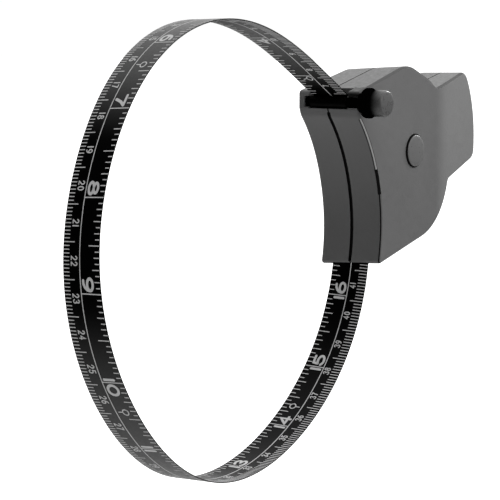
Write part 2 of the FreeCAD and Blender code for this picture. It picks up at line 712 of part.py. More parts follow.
push_button()
free_form("button_spring", coil_spring(mean_r=SIZES["spring_mean_r"], wire_r=SIZES["spring_wire"] / 2,
                                       y0=-10.97, y1=-6.43, turns=4.0))


# ------------------------------------------------------------------ brake lever, pin, pad and leaf spring
LEVER_PLAN = [(-2.3, 3.6), (9.0, 3.6), (9.0, -3.6), (-2.3, -3.6),
              (-2.3, -5.6), (17.1, -5.6), (17.1, 5.6), (-2.3, 5.6)]
# leaf spring section, (x, y)
LEAF_PROFILE = [(13.6, -10.08), (14.6, -10.08), (15.9, -9.62), (17.0, -9.42),
                (17.0, -9.28), (15.8, -9.46), (14.5, -9.92), (13.6, -9.92)]
PIVOT_LENGTH = 16.4


def brake_lever():
    """Flat fork, open towards -X, with a bored pivot barrel across it."""
    body = new_body("brake_lever")
    sketch = polygon_sketch(body, "brake_lever_plan", [LEVER_PLAN], offset="- lever_front")
    pad(body, "brake_lever_fork", sketch, "lever_front - lever_back")
    sketch = circle_sketch(body, "brake_lever_barrel_sketch", "lever_x", "lever_y", "barrel_r",
                           "XY_Plane")
    pad(body, "brake_lever_barrel", sketch, 11.2, midplane=True)
    sketch = circle_sketch(body, "brake_lever_bore_sketch", "lever_x", "lever_y", "pivot_hole_r",
                           "XY_Plane")
    pocket(body, "brake_lever_bore", sketch, 12.0, midplane=True)
    NODES.append(body)


def lever_pivot_pin():
    pin = primitive("Part::Cylinder", "lever_pivot_pin",
                    Vector(SIZES["lever_x"], SIZES["lever_y"], -PIVOT_LENGTH / 2),
                    Radius="pivot_r", Height=PIVOT_LENGTH)
    bind(pin, "Placement.Base.x", "lever_x")
    NODES.append(pin)


def brake_pad():
    body = new_body("brake_pad")
    sketch = polygon_sketch(body, "brake_pad_plan", [rectangle(14.6, 16.9, -3.3, 3.3)], offset=8.04)
    pad(body, "brake_pad_block", sketch, 0.5)
    NODES.append(body)


def brake_leaf_spring():
    body = new_body("brake_leaf_spring")
    sketch = polygon_sketch(body, "brake_leaf_profile", [LEAF_PROFILE], "XY_Plane")
    pad(body, "brake_leaf_strip", sketch, 3.0, midplane=True)
    NODES.append(body)


brake_lever()
lever_pivot_pin()
brake_pad()
brake_leaf_spring()

# ------------------------------------------------------------------ tape
# Centre line of the tape from the lock pin, round the loop and into the case.  Each row is the distance
# along the tape from the scale's zero, the point x, y, z, and the direction of the tape's width.
STATIONS = [
    (62.74, -31.585, -0.000, 18.415, 0.0001, 1.0000, -0.0000),
    (67.74, -35.874, 0.179, 20.981, 0.0018, 1.0000, -0.0011),
    (72.74, -40.145, 0.339, 23.580, 0.0048, 1.0000, -0.0033),
    (77.74, -44.421, 0.492, 26.171, 0.0080, 0.9999, -0.0061),
    (82.74, -48.724, 0.644, 28.716, 0.0112, 0.9999, -0.0092),
    (91.78, -56.642, 0.921, 33.068, 0.0165, 0.9998, -0.0146),
    (100.81, -64.827, 1.208, 36.883, 0.0212, 0.9996, -0.0185),
    (109.85, -73.337, 1.501, 39.889, 0.0251, 0.9995, -0.0203),
    (118.89, -82.155, 1.792, 41.801, 0.0281, 0.9994, -0.0198),
    (127.93, -91.158, 2.071, 42.356, 0.0299, 0.9994, -0.0199),
    (136.97, -100.121, 2.325, 41.358, 0.0312, 0.9993, -0.0223),
    (146.01, -108.753, 2.535, 38.739, 0.0332, 0.9991, -0.0270),
    (155.04, -116.757, 2.685, 34.575, 0.0371, 0.9987, -0.0339),
    (164.08, -123.907, 2.759, 29.066, 0.0437, 0.9981, -0.0423),
    (173.12, -130.086, 2.745, 22.483, 0.0536, 0.9972, -0.0515),
    (182.16, -135.296, 2.640, 15.106, 0.0653, 0.9961, -0.0599),
    (191.20, -139.593, 2.441, 7.163, 0.0726, 0.9953, -0.0639),
    (200.24, -143.011, 2.153, -1.194, 0.0740, 0.9952, -0.0646),
    (209.27, -145.500, 1.775, -9.869, 0.0689, 0.9956, -0.0632),
    (218.31, -146.949, 1.312, -18.772, 0.0570, 0.9965, -0.0614),
    (227.35, -147.249, 0.777, -27.782, 0.0382, 0.9974, -0.0609),
    (236.39, -146.347, 0.200, -36.748, 0.0127, 0.9979, -0.0636),
    (245.43, -144.260, -0.379, -45.516, -0.0129, 0.9975, -0.0696),
    (254.46, -141.053, -0.921, -53.941, -0.0312, 0.9966, -0.0764),
    (263.50, -136.811, -1.396, -61.900, -0.0425, 0.9957, -0.0823),
    (272.54, -131.613, -1.782, -69.276, -0.0473, 0.9952, -0.0856),
    (281.58, -125.504, -2.063, -75.921, -0.0467, 0.9953, -0.0849),
    (290.62, -118.507, -2.222, -81.625, -0.0419, 0.9960, -0.0789),
    (299.66, -110.678, -2.252, -86.119, -0.0350, 0.9972, -0.0666),
    (308.69, -102.179, -2.162, -89.160, -0.0299, 0.9982, -0.0524),
    (317.73, -93.275, -1.978, -90.645, -0.0275, 0.9989, -0.0385),
    (326.77, -84.244, -1.732, -90.647, -0.0275, 0.9993, -0.0255),
    (335.81, -75.304, -1.455, -89.344, -0.0293, 0.9995, -0.0138),
    (344.85, -66.596, -1.169, -86.918, -0.0321, 0.9995, -0.0034),
    (353.89, -58.225, -0.891, -83.492, -0.0358, 0.9993, 0.0055),
    (362.92, -50.294, -0.633, -79.132, -0.0396, 0.9991, 0.0125),
    (371.96, -42.927, -0.410, -73.863, -0.0419, 0.9990, 0.0158),
    (381.00, -36.287, -0.233, -67.697, -0.0417, 0.9990, 0.0156),
    (386.26, -32.829, -0.153, -63.709, -0.0401, 0.9991, 0.0142),
    (391.52, -29.719, -0.092, -59.448, -0.0372, 0.9992, 0.0122),
    (396.78, -26.987, -0.048, -54.940, -0.0328, 0.9994, 0.0097),
    (402.05, -24.665, -0.021, -50.215, -0.0270, 0.9996, 0.0070),
    (407.31, -22.761, -0.006, -45.316, -0.0196, 0.9998, 0.0043),
    (412.57, -21.293, -0.001, -40.282, -0.0106, 0.9999, 0.0019),
    (417.83, -20.250, 0.000, -35.150, -0.0000, 1.0000, -0.0000),
]
# Points (x, z) of the centre line inside the case, where y = 0 and the width lies along Y
INSIDE_POINTS = [(-19.05, -29.3), (-18.0, -24.0), (-16.85, -13.0), (-15.80, -3.2), (-15.36, 1.2)]
LOOP_START = 63.4              # distance along the tape at the lock pin
SPLIT = 381.0                  # distance at which the loop ends and the exit run begins
SPLIT_GAP_HALF = 0.4
SPLIT_CLEAR = 4.0              # stations nearer to the split than this are skipped


def frame(row):
    """Point and width direction of a row."""
    return Vector(*row[1:4]), Vector(*row[4:7]).normalize()


def frame_at(distance):
    """Interpolated frame at a distance along the tape."""
    for a, b in zip(STATIONS[:-1], STATIONS[1:]):
        if a[0] <= distance <= b[0]:
            part = (distance - a[0]) / (b[0] - a[0])
            return frame([a[i] + (b[i] - a[i]) * part for i in range(7)])
    raise RuntimeError("distance off the tape")


def frames_between(low, high):
    return [frame(row) for row in STATIONS if low < row[0] < high]


def ribbon(frames):
    """Closed solid of the tape's width and thickness along a line of frames."""
    half_w, half_t = SIZES["tape_w"] / 2, SIZES["tape_thick"] / 2
    rails = [[], [], [], []]
    points = [point for point, _ in frames]
    last = len(points) - 1
    for i, (point, width) in enumerate(frames):
        if i == 0:
            along = points[1] - point
        elif i == last:
            along = point - points[-2]
        else:
            # the nearer neighbour's direction weighs more
            before, after = point - points[i - 1], points[i + 1] - point
            along = (before * (after.Length / before.Length)
                     + after * (before.Length / after.Length))
        along.normalize()
        across = (width - along * width.dot(along)).normalize()
        normal = along.cross(across).normalize()
        for rail, (side_w, side_t) in zip(rails, ((1, 1), (-1, 1), (-1, -1), (1, -1))):
            rail.append(point + across * (half_w * side_w) + normal * (half_t * side_t))
    return tube(rails)


def tape_loop():
    """Free loop of the tape; it meets the outside of its own folded end round the pin."""
    frames = [frame_at(LOOP_START)]
    frames += frames_between(LOOP_START, SPLIT - SPLIT_CLEAR)
    frames.append(frame_at(SPLIT - SPLIT_GAP_HALF))
    fold = Part.makeCylinder(SIZES["sleeve_out"] + 0.01, 40.0,
                             Vector(SIZES["pin_x"], -20.0, SIZES["pin_z"]), Vector(0, 1, 0))
    free_form("tape_loop", ribbon(frames).cut(fold).Solids[0])


def tape_exit_run():
    """Tape from the split, up through the bottom of the case to the coil."""
    frames = [frame_at(SPLIT + SPLIT_GAP_HALF)]
    frames += frames_between(SPLIT + SPLIT_CLEAR, math.inf)
    frames += [(Vector(x, 0, z), Vector(0, 1, 0)) for x, z in INSIDE_POINTS]
    free_form("tape_exit_run", ribbon(frames))


def tape_end_sleeve():
    """Folded and bonded end of the tape round the lock pin."""
    x, z = SIZES["pin_x"], SIZES["pin_z"]
    outer = primitive("Part::Cylinder", "sleeve_outer", Vector(x, -SIZES["tape_w"] / 2, z), TO_Y,
                      Radius="sleeve_out", Height="tape_w")
    inner = primitive("Part::Cylinder", "sleeve_inner", Vector(x, -15.0, z), TO_Y,
                      Radius="sleeve_in", Height=30.0)
    sleeve = doc.addObject("Part::Cut", "tape_end_sleeve")
    sleeve.Base = outer
    sleeve.Tool = inner
    sleeve.Label = "tape_end_sleeve"
    doc.recompute()
    NODES.append(sleeve)


def lock_pin():
    """Rod with a round knob on the button side, turned in one piece."""
    body = turned("lock_pin", [
        (0, "pin_far_end"), ("pin_r - 0.35", "pin_far_end"), ("pin_r", "pin_far_end - 0.35"),
        ("pin_r", "knob_back + 0.5"), ("pin_r + 0.5", "knob_back"), ("knob_r - 0.45", "knob_back"),
        ("knob_r - 0.12", "knob_back - 0.14"), ("knob_r", "knob_back - 0.5"),
        ("knob_r", "knob_front + 0.75"), ("knob_r - 0.2", "knob_front + 0.3"),
        ("knob_r - 0.7", "knob_front + 0.06"), ("knob_r - 1.4", "knob_front"), (0, "knob_front")])
    body.Placement = Placement(Vector(SIZES["pin_x"], 0, SIZES["pin_z"]), Rotation())


tape_loop()
tape_exit_run()
tape_end_sleeve()
lock_pin()


# ------------------------------------------------------------------ final frame, checks and export
def move_to_final_frame():
    """Put the origin on the far shell's flat face."""
    doc.recompute()
    for node in NODES:
        base = node.Placement.Base
        node.Placement = Placement(Vector(base.x, base.y - SIZES["half_thick"], base.z),
                                   node.Placement.Rotation)
        if node.TypeId == "PartDesign::Body":
            bind(node, "Placement.Base.y", "- half_thick")
    doc.recompute()


def check_document():
    """Stop on a failed object, a bad shape or a repeated label."""
    faults = []
    for item in doc.Objects:
        states = [state for state in item.State if state in ("Invalid", "Error")]
        if states:
            faults.append("%s (%s): %s" % (item.Label, item.TypeId, states))
    labels = set()
    for node in NODES:
        shape = node.Shape
        if shape.isNull() or not shape.isValid():
            faults.append("%s: null or invalid shape" % node.Label)
            continue
        if not shape.Solids:
            faults.append("%s: no solid" % node.Label)
        for solid in shape.Solids:
            if solid.Volume <= 0:
                faults.append("%s: solid volume %.4f" % (node.Label, solid.Volume))
        if node.Label in labels:
            faults.append("%s: label used twice" % node.Label)
        labels.add(node.Label)
    if faults:
        raise RuntimeError("; ".join(faults))


def export_pieces():
    os.makedirs("parts", exist_ok=True)
    for node in NODES:
        shape = node.Shape
        if node.TypeId == "PartDesign::Body" and len(shape.Solids) == 1:
            shape = shape.Solids[0]
        shape.exportStep(os.path.join("parts", node.Label + ".step"))


move_to_final_frame()
check_document()
export_pieces()
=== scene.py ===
import math
import bpy
import bmesh
import numpy as np
from mathutils import Vector, Matrix
from mathutils.geometry import delaunay_2d_cdt


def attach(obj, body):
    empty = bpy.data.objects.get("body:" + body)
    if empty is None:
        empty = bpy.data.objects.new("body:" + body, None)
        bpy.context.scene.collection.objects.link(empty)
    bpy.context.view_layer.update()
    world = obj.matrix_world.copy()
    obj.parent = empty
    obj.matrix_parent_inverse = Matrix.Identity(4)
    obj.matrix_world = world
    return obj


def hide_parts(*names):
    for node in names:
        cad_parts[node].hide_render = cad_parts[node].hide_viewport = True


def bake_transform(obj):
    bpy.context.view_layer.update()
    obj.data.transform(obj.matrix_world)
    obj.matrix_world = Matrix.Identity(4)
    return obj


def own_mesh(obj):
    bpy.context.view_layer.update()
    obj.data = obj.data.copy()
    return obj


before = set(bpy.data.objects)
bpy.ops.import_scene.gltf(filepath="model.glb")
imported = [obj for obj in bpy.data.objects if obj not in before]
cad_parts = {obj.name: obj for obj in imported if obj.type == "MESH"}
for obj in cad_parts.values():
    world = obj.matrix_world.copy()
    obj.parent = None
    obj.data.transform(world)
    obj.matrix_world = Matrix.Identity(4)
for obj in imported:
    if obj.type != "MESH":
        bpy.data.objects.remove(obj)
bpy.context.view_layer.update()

MM = 0.001
YSHIFT = -11.3          # design frame to row frame, mm


# ------------------------------------------------------------------ helpers
def mesh_object(name, verts, faces, mats, mat_index=None, smooth=None):
    me = bpy.data.meshes.new(name)
    me.from_pydata([tuple(v) for v in verts], [], [tuple(f) for f in faces])
    for m in mats:
        me.materials.append(m)
    if mat_index is not None:
        me.polygons.foreach_set("material_index", np.array(mat_index, np.int32))
    if smooth is not None:
        me.polygons.foreach_set("use_smooth", np.array(smooth, bool))
    me.update()
    ob = bpy.data.objects.new(name, me)
    bpy.context.scene.collection.objects.link(ob)
    return ob


def recalc(ob):
    bm = bmesh.new()
    bm.from_mesh(ob.data)
    bmesh.ops.recalc_face_normals(bm, faces=bm.faces)
    bm.to_mesh(ob.data)
    bm.free()


def smooth_by_angle(ob, deg):
    """Smooth shading with hard edges above an angle."""
    me = ob.data
    me.polygons.foreach_set("use_smooth", np.ones(len(me.polygons), bool))
    bm = bmesh.new()
    bm.from_mesh(me)
    lim = math.radians(deg)
    for e in bm.edges:
        e.smooth = not (len(e.link_faces) == 2 and e.calc_face_angle(0.0) > lim)
    bm.to_mesh(me)
    bm.free()


def lathe(name, prof, centre, mats, seg=128, sharp=35, axis="Y"):
    """Closed turned piece: prof is (radius, y) from the axis on one end to the axis on the other, mm, row frame."""
    verts, faces = [], []
    rings = []
    cx, cz = centre
    for r, y in prof:
        if r < 1e-6:
            rings.append([len(verts)])
            verts.append((cx * MM, y * MM, cz * MM))
        else:
            ring = []
            for i in range(seg):
                a = 2 * math.pi * i / seg
                ring.append(len(verts))
                verts.append(((cx + r * math.cos(a)) * MM, y * MM, (cz + r * math.sin(a)) * MM))
            rings.append(ring)
    for a, b in zip(rings[:-1], rings[1:]):
        if len(a) == 1 and len(b) == 1:
            continue
        for i in range(seg):
            j = (i + 1) % seg
            if len(a) == 1:
                faces.append((a[0], b[i], b[j]))
            elif len(b) == 1:
                faces.append((a[i], b[0], a[j]))
            else:
                faces.append((a[i], b[i], b[j], a[j]))
    ob = mesh_object(name, verts, faces, mats)
    recalc(ob)
    smooth_by_angle(ob, sharp)
    return ob


def round_profile(pts, r, n=6):
    """Rounds the inner corners of a list of (radius, y) points with arcs of radius r (a number or one per point)."""
    out = [pts[0]]
    for i in range(1, len(pts) - 1):
        rr = r[i] if isinstance(r, (list, tuple)) else r
        p = np.array(pts[i], float)
        a = np.array(pts[i - 1], float) - p
        b = np.array(pts[i + 1], float) - p
        la, lb = np.linalg.norm(a), np.linalg.norm(b)
        if rr <= 0 or la < 1e-9 or lb < 1e-9:
            out.append(tuple(p))
            continue
        a, b = a / la, b / lb
        half = math.acos(max(-1, min(1, float(a @ b)))) / 2
        t = min(rr / math.tan(half), 0.49 * la, 0.49 * lb)
        rr = t * math.tan(half)
        c = p + (a + b) / np.linalg.norm(a + b) * (rr / math.sin(half))
        p0, p1 = p + a * t - c, p + b * t - c
        a0 = math.atan2(p0[1], p0[0])
        a1 = math.atan2(p1[1], p1[0])
        d = (a1 - a0 + math.pi) % (2 * math.pi) - math.pi
        for k in range(n + 1):
            q = a0 + d * k / n
            out.append((c[0] + rr * math.cos(q), c[1] + rr * math.sin(q)))
    out.append(pts[-1])
    return out


# ------------------------------------------------------------------ materials
def lin(g):
    """sRGB 0..255 grey to linear."""
    c = g / 255.0
    return c / 12.92 if c <= 0.04045 else ((c + 0.055) / 1.055) ** 2.4


def material(name, grey, rough, spec=0.5, grain=600.0, grain_amt=0.10, bump=0.04, bump_scale=900.0, coat=0.0,
             coat_rough=0.2, metal=0.0, wear=0.0, wear_grey=None, tint=(1, 1, 1), rough_var=0.08, sheen=0.0,
             stretch=(1, 1, 1)):
    """Principled material with colour variation, fine grain in roughness and bump, and lighter edges."""
    m = bpy.data.materials.new(name)
    m.use_nodes = True
    nt = m.node_tree
    nd, lk = nt.nodes, nt.links
    nd.clear()
    out = nd.new("ShaderNodeOutputMaterial")
    bs = nd.new("ShaderNodeBsdfPrincipled")
    lk.new(bs.outputs[0], out.inputs[0])
    tc = nd.new("ShaderNodeTexCoord")
    mp = nd.new("ShaderNodeMapping")
    mp.inputs["Scale"].default_value = stretch
    lk.new(tc.outputs["Object"], mp.inputs["Vector"])
    n1 = nd.new("ShaderNodeTexNoise")
    n1.inputs["Scale"].default_value = 45.0
    n1.inputs["Detail"].default_value = 3.0
    lk.new(mp.outputs[0], n1.inputs["Vector"])
    n2 = nd.new("ShaderNodeTexNoise")
    n2.inputs["Scale"].default_value = grain
    n2.inputs["Detail"].default_value = 2.0
    lk.new(mp.outputs[0], n2.inputs["Vector"])
    mix = nd.new("ShaderNodeMath")
    mix.operation = "MULTIPLY_ADD"
    lk.new(n1.outputs["Fac"], mix.inputs[0])
    mix.inputs[1].default_value = 0.6
    mul = nd.new("ShaderNodeMath")
    mul.operation = "MULTIPLY"
    lk.new(n2.outputs["Fac"], mul.inputs[0])
    mul.inputs[1].default_value = 0.4
    lk.new(mul.outputs[0], mix.inputs[2])
    ramp = nd.new("ShaderNodeMapRange")
    ramp.inputs["From Min"].default_value = 0.25
    ramp.inputs["From Max"].default_value = 0.75
    ramp.inputs["To Min"].default_value = 1.0 - grain_amt
    ramp.inputs["To Max"].default_value = 1.0 + grain_amt
    lk.new(mix.outputs[0], ramp.inputs["Value"])
    base = nd.new("ShaderNodeCombineColor")
    g = lin(grey)
    vals = []
    for i in range(3):
        mm = nd.new("ShaderNodeMath")
        mm.operation = "MULTIPLY"
        lk.new(ramp.outputs[0], mm.inputs[0])
        mm.inputs[1].default_value = g * tint[i]
        lk.new(mm.outputs[0], base.inputs[i])
    colour = base.outputs[0]
    if wear > 0:
        geo = nd.new("ShaderNodeNewGeometry")
        wr = nd.new("ShaderNodeMapRange")
        wr.inputs["From Min"].default_value = 0.52
        wr.inputs["From Max"].default_value = 0.62
        wr.inputs["To Max"].default_value = wear
        lk.new(geo.outputs["Pointiness"], wr.inputs["Value"])
        mx = nd.new("ShaderNodeMix")
        mx.data_type = "RGBA"
        lk.new(wr.outputs[0], mx.inputs["Factor"])
        lk.new(colour, mx.inputs["A"])
        wg = lin(wear_grey if wear_grey is not None else min(255, grey * 1.35))
        mx.inputs["B"].default_value = (wg, wg, wg, 1)
        colour = mx.outputs["Result"]
    lk.new(colour, bs.inputs["Base Color"])
    rr = nd.new("ShaderNodeMapRange")
    rr.inputs["From Min"].default_value = 0.3
    rr.inputs["From Max"].default_value = 0.7
    rr.inputs["To Min"].default_value = max(0.02, rough - rough_var)
    rr.inputs["To Max"].default_value = min(1.0, rough + rough_var)
    lk.new(n2.outputs["Fac"], rr.inputs["Value"])
    lk.new(rr.outputs[0], bs.inputs["Roughness"])
    n3 = nd.new("ShaderNodeTexNoise")
    n3.inputs["Scale"].default_value = bump_scale
    n3.inputs["Detail"].default_value = 2.0
    lk.new(mp.outputs[0], n3.inputs["Vector"])
    bp = nd.new("ShaderNodeBump")
    bp.inputs["Strength"].default_value = bump
    bp.inputs["Distance"].default_value = 0.0001
    lk.new(n3.outputs["Fac"], bp.inputs["Height"])
    lk.new(bp.outputs[0], bs.inputs["Normal"])
    bs.inputs["Metallic"].default_value = metal
    bs.inputs["Specular IOR Level"].default_value = spec
    bs.inputs["Coat Weight"].default_value = coat
    bs.inputs["Coat Roughness"].default_value = coat_rough
    bs.inputs["Sheen Weight"].default_value = sheen
    return m


M_CASE = material("case_grey", 98, 0.42, spec=0.30, wear=0.20, wear_grey=125, grain=900, grain_amt=0.05, bump=0.10, bump_scale=1500)
M_BUTTON = material("button_grey", 100, 0.34, spec=0.4, wear=0.20, wear_grey=118, grain=900, grain_amt=0.05, bump=0.08, bump_scale=1500)
M_PIN = material("pin_black", 80, 0.30, spec=0.25, wear=0.0, wear_grey=80, grain=500, grain_amt=0.08, bump=0.05)
M_TAPE = material("tape_black", 3, 0.36, spec=0.5, grain=1400, grain_amt=0.25, bump=0.12, bump_scale=2500, rough_var=0.06)
M_PRINT = material("print_white", 205, 0.55, spec=0.3, grain=1800, grain_amt=0.10, bump=0.05)
M_WHITE = material("moulded_white", 215, 0.45, grain=500, grain_amt=0.04, wear=0.1, wear_grey=235)
M_STEEL = material("zinc_steel", 185, 0.28, metal=1.0, grain=700, grain_amt=0.10, bump=0.05, wear=0.2, wear_grey=220)
M_SPRING = material("spring_steel", 120, 0.25, metal=1.0, grain=700, grain_amt=0.15, tint=(0.95, 0.98, 1.05))
M_BEARING = material("bearing_grey", 130, 0.5, grain=500, grain_amt=0.06)
M_RUBBER = material("pad_rubber", 40, 0.8, spec=0.25, grain=400, grain_amt=0.12, bump=0.2)

M_EDGE_LIGHT = material("rim_worn", 175, 0.35, spec=0.5, grain=900, grain_amt=0.05)
M_EDGE_DARK = material("rim_dark", 52, 0.5, spec=0.2, grain=900, grain_amt=0.05)
M_EDGE_MID = material("rim_soft", 98, 0.75, spec=0.02, grain=900, grain_amt=0.05)


def map_range(nt, source, f0, f1, t0, t1):
    n = nt.nodes.new("ShaderNodeMapRange")
    n.interpolation_type = "SMOOTHSTEP"
    n.inputs["From Min"].default_value = f0
    n.inputs["From Max"].default_value = f1
    n.inputs["To Min"].default_value = t0
    n.inputs["To Max"].default_value = t1
    nt.links.new(source, n.inputs["Value"])
    return n.outputs[0]


def math_node(nt, op, a, b):
    n = nt.nodes.new("ShaderNodeMath")
    n.operation = op
    for i, v in enumerate((a, b)):
        if isinstance(v, (int, float)):
            n.inputs[i].default_value = v
        else:
            nt.links.new(v, n.inputs[i])
    return n.outputs[0]


def case_places(m):
    """The tapered tail reads lighter than the flat side; the corner of the hook beside the pin is rubbed black."""
    nt = m.node_tree
    bs = [n for n in nt.nodes if n.type == "BSDF_PRINCIPLED"][0]
    src = bs.inputs["Base Color"].links[0].from_socket
    tc = nt.nodes.new("ShaderNodeTexCoord")
    sp = nt.nodes.new("ShaderNodeSeparateXYZ")
    nt.links.new(tc.outputs["Object"], sp.inputs[0])
    sn = nt.nodes.new("ShaderNodeSeparateXYZ")
    nt.links.new(tc.outputs["Normal"], sn.inputs[0])
    x, y, z = sp.outputs["X"], sp.outputs["Y"], sp.outputs["Z"]
    flat = map_range(nt, sn.outputs["Y"], -0.85, -0.55, 1.0, 0.0)
    tail = math_node(nt, "MULTIPLY", map_range(nt, x, 0.013, 0.021, 0.0, 0.34), flat)
    nz = nt.nodes.new("ShaderNodeTexNoise")
    nz.inputs["Scale"].default_value = 420.0
    nt.links.new(tc.outputs["Object"], nz.inputs["Vector"])
    wob = math_node(nt, "MULTIPLY", math_node(nt, "SUBTRACT", nz.outputs["Fac"], 0.5), 0.004)
    px = map_range(nt, math_node(nt, "ADD", x, wob), -0.0295, -0.0288, 1.0, 0.0)
    pz = map_range(nt, math_node(nt, "ADD", z, wob), 0.0180, 0.0187, 0.0, 1.0)
    py = map_range(nt, y, -0.0184, -0.0178, 1.0, 0.0)
    patch = math_node(nt, "MULTIPLY", math_node(nt, "MULTIPLY", px, pz), py)
    gain = math_node(nt, "MULTIPLY", math_node(nt, "ADD", tail, 1.0),
                     math_node(nt, "SUBTRACT", 1.0, math_node(nt, "MULTIPLY", patch, 0.97)))
    vm = nt.nodes.new("ShaderNodeVectorMath")
    vm.operation = "SCALE"
    nt.links.new(src, vm.inputs[0])
    nt.links.new(gain, vm.inputs["Scale"])
    nt.links.new(vm.outputs[0], bs.inputs["Base Color"])


case_places(M_CASE)


def tape_gloss(m):
    """The coated tape is glossier where it has been handled less: gloss follows the position on the loop."""
    nt = m.node_tree
    bs = [n for n in nt.nodes if n.type == "BSDF_PRINCIPLED"][0]
    tc = nt.nodes.new("ShaderNodeTexCoord")
    sp = nt.nodes.new("ShaderNodeSeparateXYZ")
    nt.links.new(tc.outputs["Object"], sp.inputs[0])
    x, z = sp.outputs["X"], sp.outputs["Z"]
    left = math_node(nt, "ADD", map_range(nt, z, -0.070, -0.028, 1.05, 0.04), map_range(nt, z, 0.010, 0.030, 0.0, 1.05))
    right = math_node(nt, "ADD", map_range(nt, z, -0.090, -0.045, 0.12, 0.04), map_range(nt, z, 0.021, 0.040, 0.0, 0.50))
    u = math_node(nt, "ADD", x, math_node(nt, "MULTIPLY", z, -0.077))
    t = map_range(nt, u, -0.0991, -0.0811, 0.0, 1.0)
    mixed = math_node(nt, "ADD", math_node(nt, "MULTIPLY", left, math_node(nt, "SUBTRACT", 1.0, t)),
                      math_node(nt, "MULTIPLY", right, t))
    nt.links.new(math_node(nt, "MULTIPLY", mixed, 0.5), bs.inputs["Specular IOR Level"])


tape_gloss(M_TAPE)

NODE_MATERIAL = {
    "button_side_shell": M_CASE, "far_side_shell": M_CASE, "case_screws": M_STEEL, "spool_axle": M_WHITE,
    "thrust_washer": M_WHITE, "retaining_washer": M_STEEL, "axle_screw": M_STEEL, "spool_drum": M_WHITE,
    "spool_side_flange": M_WHITE, "spool_bush": M_BEARING, "spring_cover": M_WHITE, "tape_coil": M_TAPE,
    "brake_ring": M_RUBBER, "power_spring": M_SPRING, "push_button": M_BUTTON, "button_spring": M_SPRING,
    "brake_lever": M_WHITE, "lever_pivot_pin": M_STEEL, "brake_pad": M_RUBBER, "brake_leaf_spring": M_SPRING,
    "tape_loop": M_TAPE, "tape_exit_run": M_TAPE, "tape_end_sleeve": M_TAPE, "lock_pin": M_PIN,
}
for node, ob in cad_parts.items():
    ob.data.materials.clear()
    ob.data.materials.append(NODE_MATERIAL[node])
    ob.data.polygons.foreach_set("use_smooth", np.ones(len(ob.data.polygons), bool))
    ob.data.update()


# ------------------------------------------------------------------ tape path
# distance along the printed scale, point x y z, width direction; design frame, mm
STATIONS = [
    (62.74, -31.585, -0.000, 18.415, 0.0001, 1.0000, -0.0000),
    (67.74, -35.874, 0.179, 20.981, 0.0018, 1.0000, -0.0011),
    (72.74, -40.145, 0.339, 23.580, 0.0048, 1.0000, -0.0033),
    (77.74, -44.421, 0.492, 26.171, 0.0080, 0.9999, -0.0061),
    (82.74, -48.724, 0.644, 28.716, 0.0112, 0.9999, -0.0092),
    (91.78, -56.642, 0.921, 33.068, 0.0165, 0.9998, -0.0146),
    (100.81, -64.827, 1.208, 36.883, 0.0212, 0.9996, -0.0185),
    (109.85, -73.337, 1.501, 39.889, 0.0251, 0.9995, -0.0203),
    (118.89, -82.155, 1.792, 41.801, 0.0281, 0.9994, -0.0198),
    (127.93, -91.158, 2.071, 42.356, 0.0299, 0.9994, -0.0199),
    (136.97, -100.121, 2.325, 41.358, 0.0312, 0.9993, -0.0223),
    (146.01, -108.753, 2.535, 38.739, 0.0332, 0.9991, -0.0270),
    (155.04, -116.757, 2.685, 34.575, 0.0371, 0.9987, -0.0339),
    (164.08, -123.907, 2.759, 29.066, 0.0437, 0.9981, -0.0423),
    (173.12, -130.086, 2.745, 22.483, 0.0536, 0.9972, -0.0515),
    (182.16, -135.296, 2.640, 15.106, 0.0653, 0.9961, -0.0599),
    (191.20, -139.593, 2.441, 7.163, 0.0726, 0.9953, -0.0639),
    (200.24, -143.011, 2.153, -1.194, 0.0740, 0.9952, -0.0646),
    (209.27, -145.500, 1.775, -9.869, 0.0689, 0.9956, -0.0632),
    (218.31, -146.949, 1.312, -18.772, 0.0570, 0.9965, -0.0614),
    (227.35, -147.249, 0.777, -27.782, 0.0382, 0.9974, -0.0609),
    (236.39, -146.347, 0.200, -36.748, 0.0127, 0.9979, -0.0636),
    (245.43, -144.260, -0.379, -45.516, -0.0129, 0.9975, -0.0696),
    (254.46, -141.053, -0.921, -53.941, -0.0312, 0.9966, -0.0764),
    (263.50, -136.811, -1.396, -61.900, -0.0425, 0.9957, -0.0823),
    (272.54, -131.613, -1.782, -69.276, -0.0473, 0.9952, -0.0856),
    (281.58, -125.504, -2.063, -75.921, -0.0467, 0.9953, -0.0849),
    (290.62, -118.507, -2.222, -81.625, -0.0419, 0.9960, -0.0789),
    (299.66, -110.678, -2.252, -86.119, -0.0350, 0.9972, -0.0666),
    (308.69, -102.179, -2.162, -89.160, -0.0299, 0.9982, -0.0524),
    (317.73, -93.275, -1.978, -90.645, -0.0275, 0.9989, -0.0385),
    (326.77, -84.244, -1.732, -90.647, -0.0275, 0.9993, -0.0255),
    (335.81, -75.304, -1.455, -89.344, -0.0293, 0.9995, -0.0138),
    (344.85, -66.596, -1.169, -86.918, -0.0321, 0.9995, -0.0034),
    (353.89, -58.225, -0.891, -83.492, -0.0358, 0.9993, 0.0055),
    (362.92, -50.294, -0.633, -79.132, -0.0396, 0.9991, 0.0125),
    (371.96, -42.927, -0.410, -73.863, -0.0419, 0.9990, 0.0158),
    (381.00, -36.287, -0.233, -67.697, -0.0417, 0.9990, 0.0156),
    (386.26, -32.829, -0.153, -63.709, -0.0401, 0.9991, 0.0142),
    (391.52, -29.719, -0.092, -59.448, -0.0372, 0.9992, 0.0122),
    (396.78, -26.987, -0.048, -54.940, -0.0328, 0.9994, 0.0097),
    (402.05, -24.665, -0.021, -50.215, -0.0270, 0.9996, 0.0070),
    (407.31, -22.761, -0.006, -45.316, -0.0196, 0.9998, 0.0043),
    (412.57, -21.293, -0.001, -40.282, -0.0106, 0.9999, 0.0019),
    (417.83, -20.250, 0.000, -35.150, -0.0000, 1.0000, -0.0000),
]
